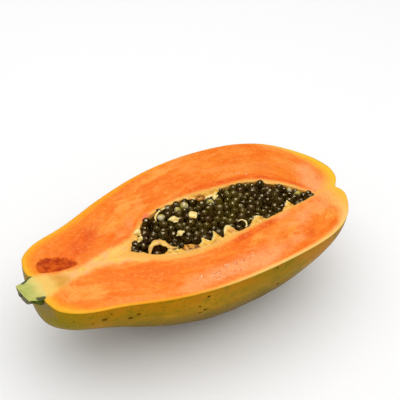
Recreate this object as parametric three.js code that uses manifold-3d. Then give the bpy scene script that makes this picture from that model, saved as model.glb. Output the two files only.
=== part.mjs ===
// Half of a ripe papaya, cut lengthwise with its stalk stub and its seeds, lying on its rounded back.
// Millimetres. +X runs from the stalk to the blossom end, +Z is up, and the cut face is level.
// The far side is +Y and the near side is -Y. While the fruit is built, X starts at the stub's broken end
// and the cut face lies at Z = 0.

import * as THREE from 'three';
import { mergeVertices } from 'three/addons/utils/BufferGeometryUtils.js';
import Module from 'manifold-3d';

const wasm = await Module();
wasm.setup();

// ---- Fruit body ----

// Cross-sections of the whole fruit: [distance from the stalk, half width, depth under the cut].
const FRUIT_SECTIONS = [
	[13, 0, 0],
	[9.5, 12, 19],
	[10.3, 20, 28.5],
	[13.5, 28, 33],
	[25, 36.5, 38],
	[52, 44.5, 47],
	[88, 57.5, 64],
	[124, 66, 72.5],
	[160, 69.3, 74.5],
	[196, 68, 65],
	[224, 63, 46.5],
	[246, 52, 29.5],
	[261, 35, 15],
	[270.5, 17, 6.5],
	[274, 0, 0],
];
const FRUIT_RINGS = 56;
const FRUIT_SIDES = 48;
// Under 1 the back is fuller than an ellipse, because the knife passed a little above the middle.
const BACK_FULLNESS = 0.86;
// Five soft ribs run along the fruit, one of them under the middle of the back.
const RIB_COUNT = 5;
const RIB_HEIGHT = 0.009;
const RIB_TURN = Math.PI / 2;
// The fruit sways a little to either side of a straight line.
const SWAY = 1.4;
const SWAY_LENGTH = 200;
const SWAY_CREST = 169;
// The back is flat over a small spot, where the fruit's own weight presses it.
const REST_SPOT_DEPTH = 0.9;

// The blossom scar is a dimple between two swellings, a little to the near side.
const DIMPLE_AT = [269, -22.6, 0];
const DIMPLE_DEPTH = 8;
const DIMPLE_RADIUS = 7;
const DIMPLE_SHARPNESS = 1.3;

// ---- Seed cavity ----

const CAVITY_START = 81;
const CAVITY_STEP = 12.2;
// Edges of the cavity on the cut face at equal steps along the fruit: [far edge, near edge].
const CAVITY_EDGES = [
	[-3.5, -3.5],
	[8.5, -14],
	[19, -21],
	[23, -25],
	[25, -26.8],
	[26, -27],
	[25, -26.2],
	[23.4, -25.6],
	[21.8, -25.4],
	[20, -25.2],
	[16.8, -24.6],
	[9.5, -24],
	[-3, -23.6],
	[-21.8, -21.8],
];
const CAVITY_END = CAVITY_START + CAVITY_STEP * (CAVITY_EDGES.length - 1);
const CAVITY_DEPTH_PER_HALF_WIDTH = 1.25;
const CAVITY_RINGS = 40;
const CAVITY_SIDES = 28;

// Torn tabs of lining stand out from the near edge over the seeds: [X, width, reach].
const TABS = [
	[112, 13, 6],
	[126.5, 10, 5.5],
	[138.5, 11, 7.5],
	[152, 15, 9],
	[181.5, 10, 6],
	[212.5, 8, 7.5],
];
const TAB_ROOT = 3;
const TAB_TOP = -0.5;
const TAB_THICKNESS = 2.2;
const TAB_LEAN = -0.22;
// The seeds under a tab are clear of it up to here.
const TAB_ROOM = 6;
// A tab's outline: half the width of its tip, the tip's slant, and the share of the half width and of
// the reach at which each side is drawn in, first the side that looks to the blossom end.
const TAB_TIP = 0.8;
const TAB_SLANT = 0.3;
const TAB_WAISTS = [
	[0.35, 0.4],
	[0.45, 0.3],
];
const TAB_STEPS = 3;

// ---- Hollow beside the core ----

const HOLLOW_CENTRE = [29.5, 12];
const HOLLOW_HALF_SIZE = [15, 5.6, 3.6];
const HOLLOW_TURN = -0.16;
const HOLLOW_SIDES = 24;
const HOLLOW_RINGS = 16;

// ---- Stalk stub ----

const STUB_Y = -2;
const STUB_SIDES = 20;
// [distance from the broken end, radius]; the last two steps are sunk in the fruit.
const STUB_PROFILE = [
	[1, 0],
	[0.2, 5.6],
	[0.5, 7.8],
	[3, 8.7],
	[6, 9.9],
	[9.5, 11.4],
	[14, 9.4],
	[18, 0],
];

// ---- Seeds ----

const SEED_PITCH = 6.3;
const SEED_ROW = 5.5;
const SEED_ROWS = 13;
const SEED_COLUMNS = 30;
const SEED_SHIFT = 0.95;
const SEED_LIFT = 0.85;
const SEED_RANDOM = 41;
// Columns of seeds that start before the cavity, so that its tip is filled.
const SEED_LEAD = 2;
// A seed's dome has a side for each of its six neighbours and one for each gap between them. Its
// ring lies this share of the way out and this far under its top, and the valleys round it lie
// deeper, deepest where three seeds meet.
const DOME_SIDES = 12;
const DOME_RING = 0.6;
const DOME_RING_DROP = 0.65;
const VALLEY_DROP = 2.6;
const CORNER_DROP = 3.5;
// The seeds stand a little under the cut face, lower along the far edge, and crown in the middle.
const BED_DEPTH = 1.5;
const BED_SLOPE = 0.025;
const BED_CROWN = 1.8;
const BED_FLOOR = -60;

// Clearance between pieces that touch.
const GAP = 0.35;

// ---- Finishes ----

const fleshFinish = new THREE.MeshStandardMaterial({ color: 0xfc8a35, roughness: 0.38, metalness: 0 });
const stubFinish = new THREE.MeshStandardMaterial({ color: 0xbfc566, roughness: 0.6, metalness: 0 });
const seedFinish = new THREE.MeshStandardMaterial({ color: 0x2a210e, roughness: 0.22, metalness: 0 });

// ---- Solids ----

// Points nearer than this are one point.
const SAME_POINT = 1e-4;
// A block this long and wide covers the whole fruit.
const SLAB_SIZE = 800;

// A closed geometry as a solid that can be joined and cut.
function toSolid(geometry) {
	geometry.deleteAttribute('normal');
	geometry.deleteAttribute('uv');
	const merged = mergeVertices(geometry, SAME_POINT);
	const mesh = new wasm.Mesh({
		numProp: 3,
		vertProperties: Float32Array.from(merged.attributes.position.array),
		triVerts: Uint32Array.from(merged.index.array),
	});
	return new wasm.Manifold(mesh);
}

// The main body of a solid, without the loose scraps that a pointed end can leave.
function mainBody(solid) {
	return solid.decompose().sort((a, b) => b.volume() - a.volume())[0];
}

function toPiece(name, solid, finish) {
	const { vertProperties, triVerts } = solid.getMesh();
	const geometry = new THREE.BufferGeometry();
	geometry.setAttribute('position', new THREE.BufferAttribute(vertProperties, 3));
	geometry.setIndex(new THREE.BufferAttribute(triVerts, 1));
	geometry.computeVertexNormals();
	const piece = new THREE.Mesh(geometry, finish);
	piece.name = name;
	return piece;
}

// A block between two heights.
function slab(low, high) {
	const block = new THREE.BoxGeometry(SLAB_SIZE, SLAB_SIZE, high - low);
	block.translate(0, 0, (low + high) / 2);
	return toSolid(block);
}

// A closed body drawn through rings that stand across X. ringPoint(ring, angle) gives a point of a
// ring, and the first and last rings have shrunk to points.
function spindle(ringCount, sides, ringPoint) {
	const points = [ringPoint(0, 0)];
	const faces = [];
	for (let ring = 1; ring < ringCount - 1; ring++) {
		for (let side = 0; side < sides; side++) {
			points.push(ringPoint(ring, (2 * Math.PI * (side + 0.5)) / sides));
		}
	}
	points.push(ringPoint(ringCount - 1, 0));
	const last = points.length - 1;
	const at = (ring, side) => 1 + (ring - 1) * sides + (side % sides);
	for (let side = 0; side < sides; side++) {
		faces.push(0, at(1, side + 1), at(1, side));
		faces.push(last, at(ringCount - 2, side), at(ringCount - 2, side + 1));
		for (let ring = 1; ring < ringCount - 2; ring++) {
			faces.push(at(ring, side), at(ring, side + 1), at(ring + 1, side));
			faces.push(at(ring + 1, side), at(ring, side + 1), at(ring + 1, side + 1));
		}
	}
	const geometry = new THREE.BufferGeometry().setFromPoints(points);
	geometry.setIndex(faces);
	return toSolid(geometry);
}

// A turned body whose axis lies along X, from [distance, radius] steps.
function turned(profile, sides, grow) {
	const outline = profile.map(([x, radius]) => new THREE.Vector2(radius > 0 ? radius + grow : 0, x));
	outline[0].y -= grow;
	outline[outline.length - 1].y += grow;
	const geometry = new THREE.LatheGeometry(outline, sides);
	geometry.rotateZ(-Math.PI / 2);
	return toSolid(geometry);
}

// ---- Fruit body ----

const fruitLine = new THREE.CatmullRomCurve3(
	FRUIT_SECTIONS.map((section) => new THREE.Vector3(...section)),
	false,
	'centripetal',
);

const dimple = new THREE.Vector3(...DIMPLE_AT);

function swayAt(x) {
	return SWAY * Math.cos((2 * Math.PI * (x - SWAY_CREST)) / SWAY_LENGTH);
}

function fruitPoint(ring, angle) {
	const section = fruitLine.getPoint(ring / (FRUIT_RINGS - 1));
	const rib = 1 + RIB_HEIGHT * Math.cos(RIB_COUNT * angle + RIB_TURN);
	const side = section.y * rib * Math.cos(angle);
	const rise = Math.sin(angle);
	const drop = -section.z * rib * Math.pow(Math.abs(rise), BACK_FULLNESS);
	const point = new THREE.Vector3(section.x, swayAt(section.x) + side, rise > 0 ? section.y * rise : drop);
	const fromDimple = point.distanceTo(dimple) / DIMPLE_RADIUS;
	point.x -= DIMPLE_DEPTH * Math.exp(-Math.pow(fromDimple, DIMPLE_SHARPNESS));
	return point;
}

function wholeFruit() {
	return spindle(FRUIT_RINGS, FRUIT_SIDES, fruitPoint);
}

function hollowCutter() {
	const geometry = new THREE.SphereGeometry(1, HOLLOW_SIDES, HOLLOW_RINGS);
	geometry.rotateX(Math.PI / 2);
	geometry.scale(...HOLLOW_HALF_SIZE);
	geometry.rotateZ(HOLLOW_TURN);
	geometry.translate(...HOLLOW_CENTRE, 0);
	return toSolid(geometry);
}

// ---- Seed cavity ----

const cavityLine = new THREE.CatmullRomCurve3(
	CAVITY_EDGES.map(([far, near], step) => new THREE.Vector3(CAVITY_START + step * CAVITY_STEP, far, near)),
	false,
	'catmullrom',
);

// The cavity, drawn in on every side by inset.
function cavity(inset) {
	const middle = (CAVITY_START + CAVITY_END) / 2;
	const shrink = 1 - inset / (middle - CAVITY_START);
	return spindle(CAVITY_RINGS, CAVITY_SIDES, (ring, angle) => {
		const edge = cavityLine.getPoint(ring / (CAVITY_RINGS - 1));
		const centre = (edge.y + edge.z) / 2;
		const halfWidth = Math.max((edge.y - edge.z) / 2 - inset, 0);
		const depth = halfWidth * CAVITY_DEPTH_PER_HALF_WIDTH;
		const x = middle + (edge.x - middle) * shrink;
		return new THREE.Vector3(x, centre + halfWidth * Math.cos(angle), depth * Math.sin(angle));
	});
}

function edgesAt(x) {
	const edge = cavityLine.getPoint((x - CAVITY_START) / (CAVITY_END - CAVITY_START));
	return { far: edge.y, near: edge.z };
}

// A thin torn tab of lining, rooted in the near wall, grown on every side by grow and up to a height.
function tab([x, width, reach], grow, top) {
	const root = edgesAt(x).near - TAB_ROOT;
	const tip = edgesAt(x).near + reach + grow;
	const half = width / 2 + grow;
	const peak = x + TAB_LEAN * reach;
	const [ahead, behind] = TAB_WAISTS;
	const outline = new THREE.Shape();
	outline.moveTo(x - half, root);
	outline.lineTo(x + half, root);
	outline.quadraticCurveTo(x + half * ahead[0], root + TAB_ROOT + reach * ahead[1], peak + TAB_TIP, tip);
	outline.lineTo(peak - TAB_TIP, tip - TAB_SLANT);
	outline.quadraticCurveTo(x - half * behind[0], root + TAB_ROOT + reach * behind[1], x - half, root);
	const low = TAB_TOP - TAB_THICKNESS - grow;
	const depth = top - low;
	const geometry = new THREE.ExtrudeGeometry(outline, { depth, bevelEnabled: false, curveSegments: TAB_STEPS });
	geometry.translate(0, 0, low);
	return toSolid(geometry);
}

function tabs(grow, top) {
	return TABS.map((size) => tab(size, grow, top)).reduce((joined, next) => joined.add(next));
}

// ---- Stalk stub ----

function stub(grow) {
	return turned(STUB_PROFILE, STUB_SIDES, grow).translate(0, STUB_Y, 0);
}

// ---- Seeds ----

// A repeatable draw between 0 and 1, from a linear congruential generator of 32 bits.
const DRAW_FACTOR = 1664525;
const DRAW_STEP = 1013904223;
const DRAW_RANGE = 2 ** 32;

function drawer(start) {
	let state = start;
	return () => {
		state = (Math.imul(state, DRAW_FACTOR) + DRAW_STEP) >>> 0;
		return state / DRAW_RANGE;
	};
}

// Height of the seeds' tops, before each one's own lift.
function bedHeight(x, y) {
	const { far, near } = edgesAt(THREE.MathUtils.clamp(x, CAVITY_START + 1, CAVITY_END - 1));
	const across = THREE.MathUtils.clamp((2 * y - far - near) / (far - near), -1, 1);
	return -BED_DEPTH - BED_SLOPE * (y - near) + BED_CROWN * (1 - across * across);
}

// The tops of the seeds, on a honeycomb with every seed shifted and lifted by its own draw.
function seedTops() {
	const draw = drawer(SEED_RANDOM);
	const rows = [];
	for (let row = 0; row < SEED_ROWS; row++) {
		const columns = [];
		for (let column = 0; column < SEED_COLUMNS; column++) {
			const x = CAVITY_START + (column - SEED_LEAD + (row % 2) / 2) * SEED_PITCH;
			const y = (row - (SEED_ROWS - 1) / 2) * SEED_ROW;
			const shiftedX = x + THREE.MathUtils.lerp(-SEED_SHIFT, SEED_SHIFT, draw());
			const shiftedY = y + THREE.MathUtils.lerp(-SEED_SHIFT, SEED_SHIFT, draw());
			const lift = THREE.MathUtils.lerp(-SEED_LIFT, SEED_LIFT, draw());
			columns.push(new THREE.Vector3(shiftedX, shiftedY, bedHeight(x, y) + lift));
		}
		rows.push(columns);
	}
	return rows;
}

// Closes a surface that faces up into a body, with walls and a floor.
function closedBelow(points, faces, floor) {
	const count = points.length;
	const below = points.map((point) => new THREE.Vector3(point.x, point.y, floor));
	const closed = [...faces];
	const edges = new Set();
	for (let i = 0; i < faces.length; i += 3) {
		const [a, b, c] = [faces[i], faces[i + 1], faces[i + 2]];
		closed.push(a + count, c + count, b + count);
		[[a, b], [b, c], [c, a]].forEach(([from, to]) => edges.add(`${from},${to}`));
	}
	for (const edge of edges) {
		const [from, to] = edge.split(',').map(Number);
		if (edges.has(`${to},${from}`)) continue;
		closed.push(from, from + count, to);
		closed.push(to, from + count, to + count);
	}
	const geometry = new THREE.BufferGeometry().setFromPoints([...points, ...below]);
	geometry.setIndex(closed);
	return toSolid(geometry);
}

// Every seed is a dome, and its ring of valley points is shared with its neighbours.
function seedLayer() {
	const tops = seedTops();
	const points = [];
	const faces = [];
	const shared = new Map();
	// The lowest point between two or three seeds.
	function valley(seeds) {
		const key = seeds.map(([row, column]) => row * SEED_COLUMNS + column).sort((a, b) => a - b).join();
		if (!shared.has(key)) {
			const point = new THREE.Vector3();
			seeds.forEach(([row, column]) => point.addScaledVector(tops[row][column], 1 / seeds.length));
			point.z -= seeds.length === 2 ? VALLEY_DROP : CORNER_DROP;
			shared.set(key, points.push(point) - 1);
		}
		return shared.get(key);
	}
	for (let row = 1; row < SEED_ROWS - 1; row++) {
		for (let column = 1; column < SEED_COLUMNS - 1; column++) {
			const here = [row, column];
			const right = row % 2;
			const round = [
				[row, column + 1],
				[row + 1, column + right],
				[row + 1, column + right - 1],
				[row, column - 1],
				[row - 1, column + right - 1],
				[row - 1, column + right],
			];
			const valleys = round.flatMap((next, side) => [
				valley([here, next]),
				valley([here, next, round[(side + 1) % round.length]]),
			]);
			const top = tops[row][column];
			const peak = points.push(top) - 1;
			const ring = valleys.map((index) => {
				const point = top.clone().lerp(points[index], DOME_RING);
				point.z = top.z - DOME_RING_DROP;
				return points.push(point) - 1;
			});
			for (let side = 0; side < DOME_SIDES; side++) {
				const next = (side + 1) % DOME_SIDES;
				faces.push(peak, ring[side], ring[next]);
				faces.push(ring[side], valleys[side], ring[next]);
				faces.push(ring[next], valleys[side], valleys[next]);
			}
		}
	}
	return closedBelow(points, faces, BED_FLOOR);
}

// ---- The half fruit ----

const deepest = Math.max(...FRUIT_SECTIONS.map(([, , depth]) => depth)) * (1 + RIB_HEIGHT);
const half = slab(-deepest + REST_SPOT_DEPTH, 0);

const fruitSolid = wholeFruit()
	.intersect(half)
	.subtract(hollowCutter())
	.subtract(cavity(0))
	.subtract(stub(GAP))
	.add(tabs(0, TAB_TOP));

const stubSolid = stub(0).intersect(half);
const seedSolid = mainBody(seedLayer().intersect(cavity(GAP)).subtract(tabs(GAP, TAB_ROOM)));

const group = new THREE.Group();
group.name = 'papaya';
group.add(toPiece('fruit_half', fruitSolid, fleshFinish));
group.add(toPiece('stem_stub', stubSolid, stubFinish));
group.add(toPiece('seeds', seedSolid, seedFinish));

// The part's own origin is the middle of the surface that it rests on.
const box = new THREE.Box3().setFromObject(group);
const middle = box.getCenter(new THREE.Vector3());
group.position.set(-middle.x, -middle.y, -box.min.z);

export default group;
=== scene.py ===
import math

import bmesh
import bpy
import numpy as np
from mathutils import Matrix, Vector, noise


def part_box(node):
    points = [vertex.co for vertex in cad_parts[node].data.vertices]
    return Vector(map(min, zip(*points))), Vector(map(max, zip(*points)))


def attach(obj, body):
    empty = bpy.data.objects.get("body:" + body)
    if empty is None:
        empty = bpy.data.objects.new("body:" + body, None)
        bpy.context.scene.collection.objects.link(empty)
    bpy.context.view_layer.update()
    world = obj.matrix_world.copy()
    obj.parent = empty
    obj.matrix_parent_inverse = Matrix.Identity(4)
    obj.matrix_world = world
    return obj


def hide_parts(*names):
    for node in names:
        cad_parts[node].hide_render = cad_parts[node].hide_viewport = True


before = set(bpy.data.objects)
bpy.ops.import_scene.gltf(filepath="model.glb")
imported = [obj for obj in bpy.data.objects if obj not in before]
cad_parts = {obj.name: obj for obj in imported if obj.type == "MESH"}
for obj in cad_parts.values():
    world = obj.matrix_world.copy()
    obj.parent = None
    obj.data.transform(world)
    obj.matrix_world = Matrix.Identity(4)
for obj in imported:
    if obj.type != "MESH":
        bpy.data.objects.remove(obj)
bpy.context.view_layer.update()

# ---- The half fruit ----
# The flesh and the thin skin of one ripe papaya, cut lengthwise in one stroke of a knife.
# It is one closed body: skin below, the wet cut face on top, and the seed cavity in the middle
# with its pale lining. It rests on a small spot that its own weight has flattened.

# Sizes are millimetres from the stub's broken end (x), the fruit's middle (y) and the cut (z).
fruit_low, fruit_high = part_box("fruit_half")
BLOSSOM_END = 273.90
MIDDLE = 1.39
ORIGIN = np.array([
    fruit_high.x * 1000 - BLOSSOM_END,
    (fruit_low.y + fruit_high.y) * 500 - MIDDLE,
    fruit_high.z * 1000,
])
# Sections of the fruit: [x, half width, depth].
FRUIT_SECTIONS = np.array([
    [13, 0, 0], [9.5, 12, 19], [10.3, 20, 28.5], [13.5, 28, 33], [25, 36.5, 38],
    [52, 44.5, 47], [88, 57.5, 64], [124, 66, 72.5], [160, 69.3, 74.5], [196, 68, 65],
    [224, 63, 46.5], [246, 52, 29.5], [261, 35, 15], [270.5, 17, 6.5], [274, 0, 0],
])
BACK_FULLNESS = 0.86
RIB_COUNT = 5
RIB_HEIGHT = 0.009
SWAY = 1.4
SWAY_LENGTH = 200
SWAY_CREST = 169
REST_LEVEL = -fruit_high.z * 1000 + fruit_low.z * 1000
DIMPLE_AT = np.array([269, -22.6, 0])
DIMPLE_DEPTH = 8
DIMPLE_RADIUS = 7
DIMPLE_SHARPNESS = 1.3
# Dents and swellings of the skin, each [size, height, shift of the noise], and the calm by the rim.
SKIN_LUMPS = [[34, 0.7, 3.1], [11, 0.22, 9.4]]
CALM_BY_RIM = 12
CURVE_POINTS = 6000
STATIONS = 400
SKIN_STEPS = 64
FACE_STEPS = 46
BOWL_STEPS = 12
# How much closer together the rows stand at the ends than if all were even.
SKIN_CROWDING = 0.4
FACE_CROWDING = 0.45

CAVITY_START = 81
CAVITY_STEP = 12.2
# The far and the near edge of the cavity, at even steps along the fruit.
CAVITY_EDGES = np.array([
    [-3.5, -3.5], [8.5, -14], [19, -21], [23, -25], [25, -26.8], [26, -27], [25, -26.2],
    [23.4, -25.6], [21.8, -25.4], [20, -25.2], [16.8, -24.6], [9.5, -24], [-3, -23.6],
    [-21.8, -21.8],
])
CAVITY_END = CAVITY_START + CAVITY_STEP * (len(CAVITY_EDGES) - 1)
CAVITY_DEPTH_PER_HALF_WIDTH = 1.25
CAVITY_POINTS = 4000
# The knife leaves the lining's edge a little uneven: [size, height, shift of the noise].
EDGE_NICKS = [[4.5, 0.5, 21.0], [1.8, 0.2, 5.0]]
# The nicks fade away where the cavity is narrower than this on each side of its middle.
NICKS_FULL_AT = 6
ROUND = 0.5
EVEN = 0.0


def curve_through(knots, where, tightness):
    """Points of a smooth curve through the knots, at the places in where, counted in knots.
    Tightness is EVEN for knots at even distances, and ROUND for uneven ones, which makes no loops."""
    knots = np.asarray(knots, float)
    padded = np.vstack([2 * knots[0] - knots[1], knots, 2 * knots[-1] - knots[-2]])
    index = np.clip(where.astype(int), 0, len(knots) - 2)
    along = (where - index)[:, None]
    before, start, end, after = (padded[index + shift] for shift in range(4))
    gaps = [np.linalg.norm(b - a, axis=1, keepdims=True) ** tightness
            for a, b in ((before, start), (start, end), (end, after))]
    slope = (start - before) / gaps[0] - (end - before) / (gaps[0] + gaps[1]) + (end - start) / gaps[1]
    last = (end - start) / gaps[1] - (after - start) / (gaps[1] + gaps[2]) + (after - end) / gaps[2]
    slope, last = slope * gaps[1], last * gaps[1]
    cubic = 2 * start - 2 * end + slope + last
    square = -3 * start + 3 * end - 2 * slope - last
    return start + slope * along + square * along ** 2 + cubic * along ** 3


def wander(points, size, salt=0.0):
    """Smooth noise from -1 to 1 at each point, with lumps of about that size."""
    return np.array([noise.noise(Vector(p) / size + Vector((salt, salt, salt))) for p in points])


def layered(points, sizes):
    """Smooth noise in layers, each [size of its lumps, height, salt]."""
    return sum(wander(points, size, salt) * height for size, height, salt in sizes)


def smooth_step(value, low, high):
    """Rises smoothly from 0 at low to 1 at high."""
    share = np.clip((np.asarray(value, float) - low) / (high - low), 0, 1)
    return share * share * (3 - 2 * share)


def crowded_steps(count, crowding):
    """Steps from 0 to 1 that stand closer together at both ends."""
    even = np.linspace(0, 1, count + 1)
    return (1 - crowding) * even + crowding * (0.5 - 0.5 * np.cos(np.pi * even))


def along_arc(points, count):
    """Places, counted in points, that cut a line of points into equal lengths."""
    lengths = np.concatenate([[0], np.cumsum(np.linalg.norm(np.diff(points, axis=0), axis=1))])
    return np.interp(np.linspace(0, lengths[-1], count), lengths, np.arange(len(points)))


def to_frame(points):
    """Metres in the shared frame, from millimetres on the fruit."""
    return (np.asarray(points, float) + ORIGIN) / 1000


def new_mesh(name, points, faces, attributes):
    """A mesh of millimetre points that carry numbers or vectors under the attributes' names."""
    mesh = bpy.data.meshes.new(name)
    mesh.from_pydata(to_frame(points).tolist(), [], faces)
    for key, values in attributes.items():
        values = np.asarray(values, float)
        kind = "FLOAT" if values.ndim == 1 else "FLOAT_VECTOR"
        layer = mesh.attributes.new(key, kind, "POINT")
        layer.data.foreach_set("value" if kind == "FLOAT" else "vector", values.ravel())
    return mesh


def make_piece(name, points, faces, attributes=None, indexes=None):
    """A smooth-shaded mesh piece from millimetre points, with its faces turned outwards."""
    mesh = new_mesh(name, points, faces, attributes or {})
    if indexes is not None:
        mesh.polygons.foreach_set("material_index", indexes)
    shape = bmesh.new()
    shape.from_mesh(mesh)
    bmesh.ops.recalc_face_normals(shape, faces=shape.faces)
    shape.to_mesh(mesh)
    shape.free()
    mesh.polygons.foreach_set("use_smooth", [True] * len(mesh.polygons))
    piece = bpy.data.objects.new(name, mesh)
    bpy.context.scene.collection.objects.link(piece)
    return piece


def sway_at(x):
    """The fruit's middle line wanders a little from side to side."""
    return SWAY * np.cos(2 * np.pi * (x - SWAY_CREST) / SWAY_LENGTH)


def skin_point(section, angle):
    """Points on the skin: angle 0 is the far rim, half pi is under the back, pi is the near rim."""
    x, half_width, depth = section[..., 0], section[..., 1], section[..., 2]
    rib = 1 + RIB_HEIGHT * np.sin(RIB_COUNT * angle)
    y = sway_at(x) + half_width * rib * np.cos(angle)
    z = -depth * rib * np.abs(np.sin(angle)) ** BACK_FULLNESS
    point = np.stack(np.broadcast_arrays(x, y, z), -1)
    from_dimple = np.linalg.norm(point - DIMPLE_AT, axis=-1) / DIMPLE_RADIUS
    point[..., 0] -= DIMPLE_DEPTH * np.exp(-from_dimple ** DIMPLE_SHARPNESS)
    return point


section_curve = curve_through(
    FRUIT_SECTIONS, np.linspace(0, len(FRUIT_SECTIONS) - 1, CURVE_POINTS), ROUND)
stations = section_curve[np.rint(along_arc(section_curve[:, :2], STATIONS + 1)).astype(int)]
skin_angles = np.pi * crowded_steps(SKIN_STEPS, SKIN_CROWDING)
skin = skin_point(stations[:, None, :], skin_angles[None, :])

# Shallow dents and swellings of the growing fruit, none at the rim itself.
away_from_rim = smooth_step(-skin[..., 2], 0, CALM_BY_RIM)
lumps = layered(skin.reshape(-1, 3), SKIN_LUMPS)
centre_line = np.stack([skin[..., 0], sway_at(skin[..., 0]), 0 * skin[..., 0]], -1)
outwards = skin - centre_line
outwards /= np.maximum(np.linalg.norm(outwards, axis=-1, keepdims=True), 1e-6)
skin += outwards * (lumps.reshape(away_from_rim.shape) * away_from_rim)[..., None]
skin[..., 2] = np.maximum(skin[..., 2], REST_LEVEL)

cavity_curve = curve_through(
    np.column_stack([CAVITY_START + CAVITY_STEP * np.arange(len(CAVITY_EDGES)), CAVITY_EDGES]),
    np.linspace(0, len(CAVITY_EDGES) - 1, CAVITY_POINTS), EVEN)


def cavity_at(x):
    """The middle and the half width of the seed cavity on the cut face."""
    far = np.interp(x, cavity_curve[:, 0], cavity_curve[:, 1])
    near = np.interp(x, cavity_curve[:, 0], cavity_curve[:, 2])
    return (far + near) / 2, (far - near) / 2


# The loop round the cut: the far rim from the stalk to the blossom end, and the near rim back.
far_rim, near_rim = skin[:, 0], skin[:, -1]
rim = np.vstack([far_rim, near_rim[-2:0:-1]])
# The cavity's loop has as many points, spread by its own length, by count and by the rim's places.
shares = []
reach = (stations[:, 0] - stations[0, 0]) / (stations[-1, 0] - stations[0, 0])
by_place = np.maximum.accumulate(smooth_step(reach, 0.02, 0.98))
by_count = np.linspace(0, 1, STATIONS + 1)
for side in (1, 2):
    edge = cavity_curve[:, [0, side]]
    by_length = along_arc(edge, STATIONS + 1) / (len(edge) - 1)
    share = 0.5 * by_length + 0.5 * by_count * 0.4 + 0.5 * by_place * 0.6
    row = np.clip(share, 0, 1) * (len(edge) - 1)
    shares.append(np.column_stack([np.interp(row, np.arange(len(edge)), edge[:, axis])
                                   for axis in (0, 1)]))
cavity_loop = np.vstack([shares[0], shares[1][-2:0:-1]])
cavity_loop = np.column_stack([cavity_loop, np.zeros(len(cavity_loop))])
nicks = layered(cavity_loop, EDGE_NICKS)
loop_middle, loop_half = cavity_at(cavity_loop[:, 0])
nick_share = smooth_step(loop_half, 0, NICKS_FULL_AT)
cavity_loop[:, 1] += np.sign(cavity_loop[:, 1] - loop_middle) * nicks * nick_share

loop_size = len(rim)
across = crowded_steps(FACE_STEPS, FACE_CROWDING)
face = rim[:, None, :] * (1 - across[None, :, None]) + cavity_loop[:, None, :] * across[None, :, None]

# How far each point of the cut is from the rim and from the cavity.
flat = face[..., :2].reshape(-1, 2)


def distance_to(line, points):
    """How far each point is from a closed line."""
    best = np.full(len(points), 1e9)
    for start, end in zip(line, np.roll(line, -1, axis=0)):
        step = end - start
        size = max(float(step @ step), 1e-9)
        place = np.clip(((points - start) @ step) / size, 0, 1)
        best = np.minimum(best, np.linalg.norm(points - start - place[:, None] * step, axis=1))
    return best


to_rim = distance_to(rim[::2, :2], flat).reshape(face.shape[:2])
to_rim[:, 0] = 0
to_cavity = distance_to(cavity_loop[::2, :2], flat).reshape(face.shape[:2])
to_cavity[:, -1] = 0

# The pale lining is thick along the near edge and thin along the far one: [x, thickness].
loop_x = rim[:, 0]
is_far = np.arange(loop_size) <= STATIONS
LINING_FAR = np.array([[80, 3.4], [95, 2.4], [106, 0.9], [112, 1.0], [130, 1.1], [150, 1.4],
                       [165, 1.5], [180, 1.1], [205, 1.5], [228, 1.7], [240, 0.8]])
LINING_NEAR = np.array([[80, 7], [92, 5.8], [106, 5.4], [118, 4.4], [132, 3.6], [148, 3.4], [162, 2.6],
                        [176, 1.7], [200, 1.2], [230, 0.9], [240, 0.8]])
cavity_x = cavity_loop[:, 0]
lining = np.where(is_far, np.interp(cavity_x, *LINING_FAR.T), np.interp(cavity_x, *LINING_NEAR.T))
to_lining = to_cavity - lining[:, None]

# The rind under the skin shows as a yellow band, broad at the blossom end: [x, width].
BAND_FAR = np.array([[9, 7.5], [25, 6.6], [60, 7], [100, 5.4], [140, 2.8], [175, 1.6], [225, 1.4],
                     [242, 2.4], [256, 5], [266, 8], [274, 11]])
BAND_NEAR = np.array([[9, 10], [14, 8], [27, 3.8], [36, 2.8], [70, 2.0], [120, 2.2], [200, 2.8],
                      [234, 4.0], [248, 9], [256, 17], [264, 22], [274, 24]])
nearness = np.where(is_far, 0.0, 1.0)[:, None] * np.ones(to_rim.shape)
# Past the notch at the blossom end, the near swelling has the broad band of the near side.
at_blossom = smooth_step(face[..., 0], 236, 252)
nearness = nearness * (1 - at_blossom) + (1 - smooth_step(face[..., 1], -33, -12)) * at_blossom
band_far = np.interp(loop_x, *BAND_FAR.T)[:, None]
band_near = np.interp(loop_x, *BAND_NEAR.T)[:, None]
rim_band = to_rim / (band_far * (1 - nearness) + band_near * nearness)

# The pale core runs from the stalk to the cavity. Its value is negative inside it.
CORE_UPPER = np.array([[10, 9], [16, 7.6], [23, 4.6], [29, 2.5], [36, 1.1], [43.5, 0.7], [52, 1.8],
                       [61, 4.6], [68, 5.2], [77, 5.6], [86, 8], [95, 14], [101, 20]])
CORE_LOWER = np.array([[10, -17], [15, -15], [20, -11.5], [26, -9.9], [36, -8.6], [46, -7.4],
                       [57.6, -7.2], [67, -9.6], [77, -13.2], [88, -20.7], [101, -30]])
face_x, face_y = face[..., 0], face[..., 1]
core = np.maximum(face_y - np.interp(face_x, *CORE_UPPER.T), np.interp(face_x, *CORE_LOWER.T) - face_y)
# It fades where the cavity begins: [how much, from x, to x].
CORE_FADES = [[14, 84, 100], [80, 98, 112]]
core += sum(amount * smooth_step(face_x, starts, ends) for amount, starts, ends in CORE_FADES)

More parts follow.
